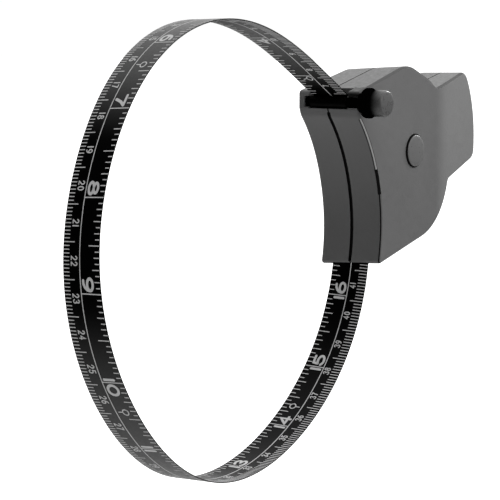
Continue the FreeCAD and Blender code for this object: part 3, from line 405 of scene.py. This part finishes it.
INNER = [(-19.05, 0.0, -29.3), (-18.0, 0.0, -24.0), (-16.85, 0.0, -13.0), (-15.80, 0.0, -3.2), (-15.36, 0.0, 1.2)]
HALF_W, HALF_T = 6.75, 0.175
PIN_X, PIN_Z = -32.5, 16.83


def spline(ts, ys, tq):
    """Natural cubic spline through ys at ts, read at tq."""
    ts, ys = np.array(ts, float), np.array(ys, float)
    n = len(ts)
    h = np.diff(ts)
    A = np.zeros((n, n))
    r = np.zeros((n, ys.shape[1]))
    A[0, 0] = A[-1, -1] = 1
    for i in range(1, n - 1):
        A[i, i - 1], A[i, i], A[i, i + 1] = h[i - 1], 2 * (h[i - 1] + h[i]), h[i]
        r[i] = 6 * ((ys[i + 1] - ys[i]) / h[i] - (ys[i] - ys[i - 1]) / h[i - 1])
    m = np.linalg.solve(A, r)
    k = np.clip(np.searchsorted(ts, tq, side="right") - 1, 0, n - 2)
    hh = h[k][:, None]
    a = ((ts[k + 1] - tq) / h[k])[:, None]
    b = ((tq - ts[k]) / h[k])[:, None]
    return a * ys[k] + b * ys[k + 1] + ((a ** 3 - a) * m[k] + (b ** 3 - b) * m[k + 1]) * hh ** 2 / 6


def build_path():
    s, P, B = [], [], []
    # wrap round the lock pin
    r_wrap = 1.83
    for i in range(40, 0, -1):
        ang = math.radians(60.0 - 7.6 * i)
        s.append(STATIONS[0][0] - r_wrap * math.radians(7.6) * i)
        rr = r_wrap - 0.03 * (i / 40.0)
        P.append((PIN_X + rr * math.cos(ang), 0.0, PIN_Z + rr * math.sin(ang)))
        B.append((0.0, 1.0, 0.0))
    st = np.array(STATIONS)
    s_dense = np.arange(st[0, 0], st[-1, 0], 1.0)
    dense = spline(st[:, 0], st[:, 1:], s_dense)
    for a, row in zip(s_dense, dense):
        s.append(a)
        P.append(tuple(row[:3]))
        B.append(tuple(row[3:6]))
    s.append(st[-1, 0])
    P.append(tuple(st[-1, 1:4]))
    B.append((0.0, 1.0, 0.0))
    # inside the case
    last = np.array(P[-1])
    pts = [last] + [np.array(p) for p in INNER]
    acc = [0.0]
    for a, b in zip(pts[:-1], pts[1:]):
        acc.append(acc[-1] + float(np.linalg.norm(b - a)))
    q = np.arange(1.0, acc[-1], 1.5)
    dn = spline(acc, np.array(pts), q)
    for a, row in zip(q, dn):
        s.append(s_dense[-1] * 0 + st[-1, 0] + a)
        P.append(tuple(row))
        B.append((0.0, 1.0, 0.0))
    s, P, B = np.array(s), np.array(P), np.array(B)
    T = np.gradient(P, s, axis=0)
    T /= np.linalg.norm(T, axis=1)[:, None]
    B = B - T * np.sum(T * B, 1)[:, None]
    B /= np.linalg.norm(B, axis=1)[:, None]
    N = np.cross(B, T)            # towards the outside of the loop or its inside, fixed below
    return s, P, T, B, N


S_, P_, T_, B_, N_ = build_path()
# the outer side of the loop at its left end faces -X
k_left = int(np.argmin(P_[:, 0]))
if N_[k_left, 0] > 0:
    N_ = -N_


def on_tape(s, b, n):
    """Point at distance s, width coordinate b (+ towards +Y), height n (+ outside the loop); row frame, metres."""
    s = np.atleast_1d(np.asarray(s, float))
    out = np.empty((len(s), 3))
    P = np.stack([np.interp(s, S_, P_[:, i]) for i in range(3)], 1)
    B = np.stack([np.interp(s, S_, B_[:, i]) for i in range(3)], 1)
    N = np.stack([np.interp(s, S_, N_[:, i]) for i in range(3)], 1)
    out = P + B * np.atleast_1d(b)[:, None] + N * np.atleast_1d(n)[:, None]
    out[:, 1] += YSHIFT
    return out * MM


# ------------------------------------------------------------------ printed scale: strokes in (s, q)
def ell(cx, cy, rx, ry, a0, a1, n=None):
    n = n or max(4, int(abs(a1 - a0) / 22.5))
    return [(cx + rx * math.cos(math.radians(a0 + (a1 - a0) * i / n)),
             cy + ry * math.sin(math.radians(a0 + (a1 - a0) * i / n))) for i in range(n + 1)]


DIGITS = {
    "0": [ell(0.5, 0.5, 0.5, 0.5, 90, 450, 24)],
    "1": [[(0.5, 0.0), (0.5, 1.0)]],
    "2": [ell(0.5, 0.70, 0.48, 0.30, 170, -28) + [(0.62, 0.36), (0.02, 0.0)], [(0.02, 0.0), (1.0, 0.0)]],
    "3": [ell(0.47, 0.76, 0.43, 0.24, 160, -90), ell(0.47, 0.26, 0.53, 0.26, 90, -165)],
    "4": [[(0.72, 0.0), (0.72, 1.0), (0.0, 0.28), (1.0, 0.28)]],
    "5": [[(0.93, 1.0), (0.16, 1.0), (0.08, 0.52)], [(0.08, 0.52)] + ell(0.48, 0.31, 0.52, 0.31, 128, -160)],
    "6": [ell(0.5, 0.30, 0.5, 0.30, 0, 360, 20), ell(0.72, 0.36, 0.72, 0.64, 178, 82)],
    "7": [[(0.0, 1.0), (1.0, 1.0)], [(1.0, 1.0), (0.62, 0.55), (0.38, 0.0)]],
    "8": [ell(0.5, 0.765, 0.42, 0.235, 0, 360, 20), ell(0.5, 0.265, 0.5, 0.265, 0, 360, 20)],
    "9": [[(1 - x, 1 - y) for x, y in ell(0.5, 0.30, 0.5, 0.30, 0, 360, 20)],
          [(1 - x, 1 - y) for x, y in ell(0.72, 0.36, 0.72, 0.64, 178, 82)]],
}

strokes = []                 # the printed marks: points, width, face of the tape, rounded ends
PRINT_UP, PRINT_DOWN = HALF_T + 0.022, HALF_T - 0.03


def add_stroke(points, width, face, round_caps=True):
    """Notes down one stroke of the print; points are (s, q), q from the centimetre edge."""
    strokes.append((points, width, face, round_caps))


def build_stroke(points, width, face, round_caps, pr_v, pr_f):
    """One stroke of the print as a thin closed bar, added to pr_v and pr_f."""
    p = np.array(points, float)
    # long straight runs along s are divided so that they follow the curve
    dens = [p[0]]
    for a, b in zip(p[:-1], p[1:]):
        n = max(1, int(math.ceil(abs(b[0] - a[0]) / 1.2)))
        for k in range(1, n + 1):
            dens.append(a + (b - a) * k / n)
    p = np.array(dens)
    keep = [0] + [i for i in range(1, len(p)) if np.linalg.norm(p[i] - p[i - 1]) > 1e-4]
    p = p[keep]
    closed = len(p) > 3 and np.linalg.norm(p[0] - p[-1]) < 1e-3
    n = len(p)
    t = np.zeros_like(p)
    for i in range(n):
        if closed:
            a = p[i - 1] if i > 0 else p[n - 2]
            b = p[i + 1] if i < n - 1 else p[1]
        else:
            a, b = p[max(0, i - 1)], p[min(n - 1, i + 1)]
        u, v = p[i] - a, b - p[i]
        lu, lv = np.linalg.norm(u), np.linalg.norm(v)
        d = (u / lu if lu > 0 else 0) + (v / lv if lv > 0 else 0)
        t[i] = d / max(1e-9, np.linalg.norm(d))
    nor = np.stack([-t[:, 1], t[:, 0]], 1)
    hw = np.full(n, width / 2)
    for i in range(1, n - 1):        # mitre
        u = (p[i] - p[i - 1]) / np.linalg.norm(p[i] - p[i - 1])
        c = abs(float(u @ t[i]))
        hw[i] = width / 2 / max(0.55, c)
    if round_caps and not closed:
        q, w = [], []
        for k, f in ((0, -1), (n - 1, 1)):
            cap = [(p[k] + f * t[k] * (width / 2) * math.sin(x), (width / 2) * math.cos(x), nor[k])
                   for x in np.radians([25, 50, 72])]
            if k == 0:
                q = cap[::-1] + [(p[i], hw[i], nor[i]) for i in range(n)]
            else:
                q = q + cap
        P2 = np.array([x[0] for x in q])
        W2 = np.array([x[1] for x in q])
        N2 = np.array([x[2] for x in q])
    else:
        P2, W2, N2 = p, hw, nor
    L, R = P2 + N2 * W2[:, None], P2 - N2 * W2[:, None]
    sgn = 1.0 if face == "outer" else -1.0

    def bcoord(qv):
        return HALF_W - qv if face == "outer" else -HALF_W + qv
    rows = []
    for pts, h in ((L, PRINT_UP), (R, PRINT_UP), (R, PRINT_DOWN), (L, PRINT_DOWN)):
        rows.append(on_tape(pts[:, 0], bcoord(np.clip(pts[:, 1], 0.02, 13.48)), np.full(len(pts), sgn * h)))
    base = len(pr_v)
    m = len(P2)
    for i in range(m):
        for k in range(4):
            pr_v.append(rows[k][i])
    for i in range(m - 1):
        for k in range(4):
            a, b = base + i * 4 + k, base + i * 4 + (k + 1) % 4
            pr_f.append((a, b, b + 4, a + 4))
    pr_f.append(tuple(base + k for k in range(4)))
    pr_f.append(tuple(base + (m - 1) * 4 + k for k in (3, 2, 1, 0)))


def add_number(text, s_left, q0, height, dw, gap, stroke, face, one_w=None):
    """Digits of a number from s_left on; returns where it ends."""
    x = s_left
    for ch in text:
        w = one_w if (ch == "1" and one_w is not None) else dw
        for st in DIGITS[ch]:
            ins = stroke / 2
            if ch == "1":
                pts = [(x + w / 2, q0 + ins + (height - 2 * ins) * y) for _, y in st]
            else:
                pts = [(x + ins + (w - 2 * ins) * a, q0 + ins + (height - 2 * ins) * y) for a, y in st]
            add_stroke(pts, stroke, face)
        x += w + gap
    return x - gap


def number_width(text, dw, gap, one_w):
    return sum(one_w if c == "1" else dw for c in text) + gap * (len(text) - 1)


S_MIN, S_MAX = 64.2, 423.0
for face in ("outer", "inner"):
    # centre line
    add_stroke([(S_MIN - 1.0, 6.35), (S_MAX, 6.35)], 0.30, face, False)
    # centimetre edge
    for k in range(int(S_MIN) + 1, int(S_MAX)):
        if face == "outer":
            ln = 4.3 if k % 10 == 5 else 2.4
        else:
            ln = 4.7 if k % 10 == 5 else 3.0
        add_stroke([(k, 0.05), (k, ln)], 0.27, face, False)
    for c in range(7, 43):
        txt = str(c)
        if face == "outer":
            w = number_width(txt, 1.25, 0.28, 0.60)
            add_number(txt, 10.0 * c - w / 2, 3.0, 2.5, 1.25, 0.28, 0.35, face, 0.60)
        else:
            w = number_width(txt, 1.15, 0.26, 0.50)
            add_number(txt, 10.0 * c - w / 2, 3.55, 2.3, 1.15, 0.26, 0.33, face, 0.50)
    # inch edge
    k = int(math.ceil(S_MIN / 25.4 * 16))
    while k * 25.4 / 16 < S_MAX:
        s = k * 25.4 / 16
        if k % 16 == 0:
            add_stroke([(s, 6.35), (s, 13.45)], 0.30, face, False)
        else:
            if face == "outer":
                ln = 3.8 if k % 8 == 0 else 2.5 if k % 4 == 0 else 1.9 if k % 2 == 0 else 1.5
            else:
                ln = 4.2 if k % 8 == 0 else 3.4 if k % 4 == 0 else 2.8 if k % 2 == 0 else 2.0
            add_stroke([(s, 13.45 - ln), (s, 13.45)], 0.28, face, False)
        k += 1
    for n in range(4, 17):
        s = 25.4 * n
        txt = str(n)
        if n < 10:
            add_number(txt, s - 0.5 - 4.0, 6.95, 4.3, 4.0, 0.5, 0.85, face, 1.0)
        else:
            add_number("1", s - 0.45 - 0.85, 6.95, 4.2, 4.0, 0.5, 0.8, face, 0.85)
            add_number(txt[1], s + 0.5, 6.95, 4.3, 4.0, 0.5, 0.85, face, 1.0)
    # plain ring-and-stem marks
    for x in (6.4, 10.4, 14.35):
        s = 25.4 * x
        add_stroke([(s + 1.0 * math.cos(a), 9.7 + 1.0 * math.sin(a)) for a in np.linspace(0, 2 * math.pi, 17)], 0.34, face)
        add_stroke([(s, 8.7), (s, 7.3)], 0.32, face)
    s = 74.6
    add_stroke([(s + 1.1 * math.cos(a), 8.0 + 1.0 * math.sin(a)) for a in np.linspace(0, 2 * math.pi, 17)], 0.34, face)
    add_stroke([(s, 9.0), (s - 0.6, 10.5)], 0.34, face)

# the strip itself: eight-sided section with softened edges, one continuous mesh
ch = 0.06
SECTION = [(-HALF_W + ch, HALF_T), (-HALF_W, HALF_T - ch), (-HALF_W, -HALF_T + ch), (-HALF_W + ch, -HALF_T),
           (-3.4, -HALF_T), (0.0, -HALF_T), (3.4, -HALF_T),
           (HALF_W - ch, -HALF_T), (HALF_W, -HALF_T + ch), (HALF_W, HALF_T - ch), (HALF_W - ch, HALF_T),
           (3.4, HALF_T), (0.0, HALF_T), (-3.4, HALF_T)]


def tape_piece(name, s_lo, s_hi):
    """The tape between two distances along it, with the print that lies on it."""
    rows_s = np.concatenate([[s_lo], S_[(S_ > s_lo + 0.05) & (S_ < s_hi - 0.05)], [s_hi]])
    m = len(SECTION)
    sec_rows = [on_tape(rows_s, np.full(len(rows_s), b), np.full(len(rows_s), n)) for b, n in SECTION]
    tv, tf = [], []
    for i in range(len(rows_s)):
        for k in range(m):
            tv.append(sec_rows[k][i])
    for i in range(len(rows_s) - 1):
        for k in range(m):
            a, b = i * m + k, i * m + (k + 1) % m
            tf.append((a, b, b + m, a + m))
    tf.append(tuple(range(m)))
    tf.append(tuple((len(rows_s) - 1) * m + k for k in range(m - 1, -1, -1)))
    n_strip_v, n_strip_f = len(tv), len(tf)
    pr_v, pr_f = [], []
    for points, width, face, caps in strokes:
        lo, hi = min(p[0] for p in points), max(p[0] for p in points)
        if hi - lo > 50:            # the centre line runs through both pieces
            points = [(min(max(p[0], s_lo), s_hi), p[1]) for p in points]
        elif not s_lo <= (lo + hi) / 2 < s_hi:
            continue
        build_stroke(points, width, face, caps, pr_v, pr_f)
    verts = np.vstack([np.array(tv), np.array(pr_v)])
    faces = tf + [tuple(v + n_strip_v for v in f) for f in pr_f]
    ob = mesh_object(name, verts, faces, [M_TAPE, M_PRINT],
                     [0] * n_strip_f + [1] * len(pr_f), [True] * n_strip_f + [False] * len(pr_f))
    recalc(ob)
    bm = bmesh.new()
    bm.from_mesh(ob.data)
    for e in bm.edges:
        if len(e.link_faces) == 2 and e.calc_face_angle(0.0) > math.radians(35):
            e.smooth = False
    bm.to_mesh(ob.data)
    bm.free()
    return ob


# the loop swings with the pin; the run into the case bends between the two
S_CUT = 343.5
loop_tape = tape_piece("measuring_tape_loop", float(S_[0]), S_CUT - 0.01)
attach(loop_tape, "loop")
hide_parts("tape_loop", "tape_end_sleeve")
exit_tape = tape_piece("measuring_tape_exit", S_CUT + 0.01, float(S_[-1]))
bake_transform(exit_tape)
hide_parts("tape_exit_run")

# ------------------------------------------------------------------ springs that flatten
def spring_copy(node, name):
    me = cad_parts[node].data.copy()
    me.name = name
    me.materials.clear()
    me.materials.append(M_SPRING)
    ob = bpy.data.objects.new(name, me)
    bpy.context.scene.collection.objects.link(ob)
    ob.matrix_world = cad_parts[node].matrix_world.copy()
    for p in me.polygons:
        p.material_index = 0
    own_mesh(ob)
    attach(ob, "case")
    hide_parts(node)
    return ob


spring_copy("button_spring", "button_spring_coil")
spring_copy("brake_leaf_spring", "brake_leaf")

# ------------------------------------------------------------------ case halves
# outline of the case, x and z, design frame, mm
OUTLINE = [
    (-20.81, -33.68), (-20.33, -30.86), (-20.01, -28.03), (-19.83, -25.18), (-19.81, -22.33), (-19.94, -19.48), (-20.21, -16.64),
    (-20.64, -13.82), (-21.22, -11.03), (-21.94, -8.27), (-22.81, -5.55), (-23.82, -2.88), (-24.98, -0.28), (-26.26, 2.27),
    (-27.69, 4.74), (-29.24, 7.14), (-30.91, 9.45), (-32.71, 11.66), (-33.12, 12.23), (-33.43, 12.87), (-34.02, 14.39),
    (-34.08, 14.60), (-34.10, 14.82), (-34.10, 19.15), (-34.03, 19.56), (-33.84, 19.93), (-33.53, 20.22), (-33.15, 20.40),
    (-9.36, 27.07), (-8.01, 27.39), (-6.63, 27.57), (-5.24, 27.63), (-3.85, 27.56), (-2.48, 27.36), (-1.13, 27.04),
    (0.19, 26.59), (6.90, 23.95), (8.48, 23.27), (10.02, 22.49), (11.50, 21.62), (12.93, 20.67), (13.40, 20.39),
    (13.92, 20.22), (14.46, 20.16), (15.00, 20.21), (34.80, 24.40), (35.75, 24.57), (36.72, 24.61), (37.68, 24.51),
    (38.62, 24.27), (39.52, 23.92), (40.37, 23.44), (41.13, 22.85), (41.81, 22.16), (43.14, 20.40), (44.35, 18.56),
    (45.44, 16.64), (46.40, 14.66), (47.24, 12.63), (47.94, 10.54), (48.51, 8.41), (48.94, 6.25), (49.23, 4.07),
    (49.38, 1.87), (49.39, -0.33), (49.25, -2.53), (49.12, -3.18), (48.87, -3.80), (48.52, -4.37), (48.07, -4.86),
    (47.54, -5.27), (46.95, -5.57), (46.31, -5.76), (24.65, -10.72), (24.05, -10.95), (23.52, -11.31), (23.10, -11.79),
    (22.80, -12.36), (21.98, -14.27), (21.01, -16.12), (19.91, -17.89), (18.69, -19.57), (17.34, -21.16), (15.88, -22.64),
    (14.31, -24.01), (12.65, -25.27), (10.90, -26.39), (9.07, -27.38), (7.17, -28.24), (5.21, -28.95), (3.21, -29.51),
    (-19.45, -34.99), (-19.82, -35.02), (-20.18, -34.91), (-20.49, -34.70), (-20.71, -34.40), (-20.82, -34.05),
]


def outline_distance(xz):
    """Distance to the outline, and the direction into the case at the nearest point."""
    a = np.array(OUTLINE)
    b = np.roll(a, -1, axis=0)
    d = b - a
    ln = np.linalg.norm(d, axis=1)
    best = np.full(len(xz), 1e9)
    into = np.zeros((len(xz), 2))
    area2 = float(np.sum(a[:, 0] * b[:, 1] - b[:, 0] * a[:, 1]))
    sgn = 1.0 if area2 > 0 else -1.0
    for i in range(len(a)):
        if ln[i] < 1e-6:
            continue
        t = np.clip(((xz - a[i]) @ d[i]) / ln[i] ** 2, 0, 1)
        q = np.linalg.norm(xz - (a[i] + t[:, None] * d[i]), axis=1)
        n = sgn * np.array([-d[i][1], d[i][0]]) / ln[i]
        near = q < best - 1e-6
        best[near] = q[near]
        into[near] = n
    return best, into


def smoothstep(x):
    x = np.clip(x, 0, 1)
    return x * x * (3 - 2 * x)


def case_half(node, name, side):
    """Half of the case: clean shading, a fine V groove along the parting line, a dark groove on the front."""
    bm = bmesh.new()
    bm.from_mesh(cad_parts[node].data)
    bmesh.ops.remove_doubles(bm, verts=bm.verts, dist=1e-6)
    bmesh.ops.dissolve_limit(bm, angle_limit=math.radians(0.6), verts=bm.verts, edges=bm.edges)
    for off in (0.24,):
        bmesh.ops.bisect_plane(bm, geom=bm.verts[:] + bm.edges[:] + bm.faces[:], dist=1e-7,
                               plane_co=(0, (YSHIFT + side * off) * MM, 0), plane_no=(0, 1, 0))
    bm.verts.ensure_lookup_table()
    co = np.array([v.co for v in bm.verts]) / MM
    yd = co[:, 1] - YSHIFT
    dist, into = outline_distance(co[:, [0, 2]])
    cut = (np.abs(yd) < 0.05) & (dist < 0.03)
    wide = (np.abs(np.abs(yd) - 0.34) < 0.01) & (dist < 0.6)
    for i in np.nonzero(cut)[0]:
        v = bm.verts[int(i)]
        v.co.x += into[i, 0] * 0.26 * MM
        v.co.z += into[i, 1] * 0.26 * MM
    for i in np.nonzero(wide)[0]:
        bm.verts[int(i)].co.y += side * 0.26 * MM
    # the outer skin sinks a little towards the far side; the walls of the hollow stay where they are
    t = np.clip((yd + 11.3) / 22.6, 0, 1)
    x, z = co[:, 0], co[:, 2]
    low = smoothstep((5.0 - z) / 30.0)
    up = 1.3 * smoothstep((x + 32.0) / 20.0) * (1 - 0.65 * smoothstep((x - 5.0) / 25.0))
    drop = ((1 - low) * up + low * 1.8) * t * (1 - smoothstep((dist - 1.15) / 0.5))
    for i in np.nonzero(drop > 1e-4)[0]:
        bm.verts[int(i)].co.z -= drop[i] * MM
    # the drum is a little fuller at its lower right
    full = (0.6 * smoothstep((x - 2.0) / 10.0) * (1 - smoothstep((x - 24.0) / 1.5)) * smoothstep((-7.0 - z) / 4.0)
            * (1 - smoothstep((dist - 1.15) / 0.4)))
    for i in np.nonzero(full > 1e-4)[0]:
        bm.verts[int(i)].co.x -= into[i, 0] * full[i] * MM
        bm.verts[int(i)].co.z -= into[i, 1] * full[i] * MM
    me = bpy.data.meshes.new(name)
    for m in (M_CASE, M_SEAM, M_EDGE_LIGHT, M_EDGE_DARK, M_SEAM, M_EDGE_MID):
        me.materials.append(m)
    for f in bm.faces:
        c = f.calc_center_median() / MM
        y = abs(c.y - YSHIFT)
        if y < 0.62:
            dd, _ = outline_distance(np.array([[c.x, c.z]]))
            if dd[0] > 0.05:
                f.material_index = 1
    bmesh.ops.recalc_face_normals(bm, faces=bm.faces)
    lim = math.radians(28)
    for e in bm.edges:
        e.smooth = not (len(e.link_faces) == 2 and e.calc_face_angle(0.0) > lim)
    for f in bm.faces:
        f.smooth = True
        if side > 0 or f.material_index:
            continue
        # bands along the rounded rim: worn bright or shaded, as the edge catches the light
        n = f.normal
        c = f.calc_center_median() / MM
        tilt = math.degrees(math.asin(max(-1.0, min(1.0, -n.y))))
        if not 4 < tilt < 86 or c.y - YSHIFT > (-9.8 if c.x < 22.0 else -5.0):
            continue
        if n.x < -0.15 and c.z < 11.5 and c.x < -18.5:
            if c.z > -4.5:
                f.material_index = 2 if 30 < tilt < 62 else 3
            elif c.z > -13.0:
                f.material_index = 4
            elif 15 < tilt < 50:
                f.material_index = 4
        elif n.z > 0.15 and -30.0 < c.x < 46.0 and c.z > 15.0:
            f.material_index = 5
    bm.to_mesh(me)
    bm.free()
    ob = bpy.data.objects.new(name, me)
    bpy.context.scene.collection.objects.link(ob)
    wn_mod = ob.modifiers.new("weighted", "WEIGHTED_NORMAL")
    wn_mod.keep_sharp = True
    wn_mod.weight = 90
    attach(ob, "case")
    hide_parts(node)
    return ob


M_SEAM = material("seam_shadow", 12, 0.7, spec=0.1, grain=900, grain_amt=0.1)
near_half = case_half("button_side_shell", "case_half_button_side", -1)
far_half = case_half("far_side_shell", "case_half_far_side", 1)

# ------------------------------------------------------------------ lock pin
yk0, yk1 = -15.1 + YSHIFT, -20.9 + YSHIFT
prof = round_profile([(0, 8.8 + YSHIFT), (1.55, 8.8 + YSHIFT), (1.55, -11.45 + YSHIFT), (3.15, -11.5 + YSHIFT), (3.3, -12.6 + YSHIFT),
                      (4.7, -13.5 + YSHIFT), (4.75, yk0 + 0.1), (4.1, yk0 - 0.3), (4.1, yk1), (0, yk1)],
                     [0, 0.35, 0.0, 0.3, 0.5, 0.4, 0.3, 0.2, 0.7, 0], 8)
pin = lathe("lock_pin_body", prof, (PIN_X, PIN_Z), [M_PIN], seg=128)
nt = M_PIN.node_tree
p_bsdf = [n for n in nt.nodes if n.type == "BSDF_PRINCIPLED"][0]
p_from = p_bsdf.inputs["Base Color"].links[0].from_socket
p_tc = nt.nodes.new("ShaderNodeTexCoord")
p_sep = nt.nodes.new("ShaderNodeSeparateXYZ")
nt.links.new(p_tc.outputs["Object"], p_sep.inputs[0])
p_mr = nt.nodes.new("ShaderNodeMapRange")
p_mr.interpolation_type = "SMOOTHSTEP"
p_mr.inputs["From Min"].default_value = (yk0 - 1.8) * MM
p_mr.inputs["From Max"].default_value = (yk1 - 0.2) * MM
p_mr.inputs["To Min"].default_value = 0.0
p_mr.inputs["To Max"].default_value = 1.0
nt.links.new(p_sep.outputs["Y"], p_mr.inputs["Value"])
p_mx = nt.nodes.new("ShaderNodeMix")
p_mx.data_type = "RGBA"
nt.links.new(p_mr.outputs[0], p_mx.inputs["Factor"])
p_mx.inputs["A"].default_value = (0.0008, 0.0008, 0.0008, 1)
nt.links.new(p_from, p_mx.inputs["B"])
nt.links.new(p_mx.outputs["Result"], p_bsdf.inputs["Base Color"])
nt.links.new(math_node(nt, "MULTIPLY", p_mr.outputs[0], 0.5), p_bsdf.inputs["Specular IOR Level"])
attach(pin, "pin")
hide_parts("lock_pin")

# ------------------------------------------------------------------ push button
top = -12.05 + YSHIFT
R = 5.25
prof = [(0, top)]
for i in range(1, 9):
    r = 4.7 * i / 8
    prof.append((r, top + 0.12 * (r / 4.7) ** 2.6))
prof += [(4.9, top + 0.16), (5.08, top + 0.24), (5.2, top + 0.36), (R, top + 0.52), (R, -10.14 + YSHIFT),
         (3.35, -10.14 + YSHIFT), (3.35, -11.0 + YSHIFT), (0, -11.0 + YSHIFT)]
button = lathe("button_cap", prof, (0, 0), [M_BUTTON, M_SEAM], seg=128)
for p in button.data.polygons:
    if p.center.y > (top + 0.28) * MM:
        p.material_index = 1
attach(button, "button")
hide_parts("push_button")

# ------------------------------------------------------------------ stage
floor_z = -0.140


def plane_sheet(name, pts, mat):
    ob = mesh_object(name, pts, [tuple(range(len(pts)))], [mat])
    return ob


M_FLOOR = bpy.data.materials.new("floor_white")
M_FLOOR.use_nodes = True
fn, fl = M_FLOOR.node_tree.nodes, M_FLOOR.node_tree.links
fn.clear()
f_out = fn.new("ShaderNodeOutputMaterial")
f_add = fn.new("ShaderNodeAddShader")
f_dif = fn.new("ShaderNodeBsdfDiffuse")
f_lp0 = fn.new("ShaderNodeLightPath")
f_geo = fn.new("ShaderNodeNewGeometry")
f_len = fn.new("ShaderNodeVectorMath")
f_len.operation = "DISTANCE"
fl.new(f_geo.outputs["Position"], f_len.inputs[0])
f_len.inputs[1].default_value = (0.02, 0.06, floor_z)
f_fall = fn.new("ShaderNodeMapRange")
f_fall.interpolation_type = "SMOOTHSTEP"
f_fall.inputs["From Min"].default_value = 0.16
f_fall.inputs["From Max"].default_value = 0.50
f_fall.inputs["To Min"].default_value = 0.0
f_fall.inputs["To Max"].default_value = 0.97
fl.new(f_len.outputs["Value"], f_fall.inputs["Value"])
f_g = fn.new("ShaderNodeMath")
f_g.operation = "MULTIPLY"
fl.new(f_fall.outputs[0], f_g.inputs[0])
fl.new(f_lp0.outputs["Is Glossy Ray"], f_g.inputs[1])
f_col = fn.new("ShaderNodeMix")
f_col.data_type = "RGBA"
fl.new(f_g.outputs[0], f_col.inputs["Factor"])
f_col.inputs["A"].default_value = (0.62, 0.62, 0.62, 1)
f_col.inputs["B"].default_value = (0, 0, 0, 1)
fl.new(f_col.outputs["Result"], f_dif.inputs[0])
f_emi = fn.new("ShaderNodeEmission")
f_lp = fn.new("ShaderNodeLightPath")
f_str = fn.new("ShaderNodeMath")
f_str.operation = "MULTIPLY"
fl.new(f_lp.outputs["Is Camera Ray"], f_str.inputs[0])
f_str.inputs[1].default_value = 0.95
fl.new(f_str.outputs[0], f_emi.inputs[1])
fl.new(f_dif.outputs[0], f_add.inputs[0])
fl.new(f_emi.outputs[0], f_add.inputs[1])
fl.new(f_add.outputs[0], f_out.inputs[0])
floor = plane_sheet("floor", [(-6, -6, floor_z), (6, -6, floor_z), (6, 6, floor_z), (-6, 6, floor_z)], M_FLOOR)

# ------------------------------------------------------------------ light and camera
world = bpy.data.worlds.new("studio")
bpy.context.scene.world = world
world.use_nodes = True
wn, wl = world.node_tree.nodes, world.node_tree.links
wn.clear()
w_out = wn.new("ShaderNodeOutputWorld")
w_mix = wn.new("ShaderNodeMixShader")
w_path = wn.new("ShaderNodeLightPath")
w_white = wn.new("ShaderNodeBackground")
w_white.inputs[0].default_value = (1, 1, 1, 1)
w_white.inputs[1].default_value = 1.02
w_soft = wn.new("ShaderNodeBackground")
w_tc = wn.new("ShaderNodeTexCoord")


def lobe(direction, width, gain):
    """Soft patch of light in the surroundings, brightest towards a direction."""
    d = Vector(direction).normalized()
    dot = wn.new("ShaderNodeVectorMath")
    dot.operation = "DOT_PRODUCT"
    wl.new(w_tc.outputs["Generated"], dot.inputs[0])
    dot.inputs[1].default_value = d
    mr = wn.new("ShaderNodeMapRange")
    mr.interpolation_type = "SMOOTHSTEP"
    mr.inputs["From Min"].default_value = math.cos(math.radians(width))
    mr.inputs["From Max"].default_value = 1.0
    mr.inputs["To Min"].default_value = 0.0
    mr.inputs["To Max"].default_value = gain
    wl.new(dot.outputs["Value"], mr.inputs["Value"])
    return mr.outputs[0]


def add_all(parts, base):
    last = None
    for p in parts:
        m = wn.new("ShaderNodeMath")
        m.operation = "ADD"
        if last is None:
            m.inputs[0].default_value = base
        else:
            wl.new(last, m.inputs[0])
        wl.new(p, m.inputs[1])
        last = m.outputs[0]
    return last


w_level = add_all([lobe((0.15, -0.05, 1), 75, 1.9), lobe((1, -0.25, 0.2), 65, 0.9), lobe((0.8, 0.6, 0.12), 40, 1.0)], 0.03)
wl.new(w_level, w_soft.inputs[1])
wl.new(w_path.outputs["Is Camera Ray"], w_mix.inputs[0])
wl.new(w_soft.outputs[0], w_mix.inputs[1])
wl.new(w_white.outputs[0], w_mix.inputs[2])
wl.new(w_mix.outputs[0], w_out.inputs[0])

def area(name, loc, target, size, power, size_y=None):
    l = bpy.data.lights.new(name, "AREA")
    l.shape = "RECTANGLE" if size_y else "SQUARE"
    l.size = size
    if size_y:
        l.size_y = size_y
    l.energy = power
    o = bpy.data.objects.new(name, l)
    bpy.context.scene.collection.objects.link(o)
    o.location = loc
    o.rotation_mode = "QUATERNION"
    o.rotation_quaternion = (Vector(target) - Vector(loc)).to_track_quat("-Z", "Y")
    return o


area("key", (1.25, -0.40, 0.50), (0, -0.01, 0), 0.30, 9.0, 0.30)
area("fill", (0.35, -1.30, 0.30), (0, -0.01, 0), 0.50, 3.0, 0.50)

cam_data = bpy.data.cameras.new("camera")
cam = bpy.data.objects.new("camera", cam_data)
bpy.context.scene.collection.objects.link(cam)
cam_data.sensor_width = 36.0
cam_data.lens = 1637.4446 / 500.0 * 36.0
cam.location = (-0.460782, (-288.393 + YSHIFT) * MM, 0.041415)
yaw, pitch = 0.92906175, -0.13786918
cam.rotation_euler = (math.pi / 2 + pitch, 0, -yaw)
cam_data.clip_start = 0.01
cam_data.clip_end = 30
bpy.context.scene.camera = cam
bpy.context.scene.view_settings.view_transform = "Standard"
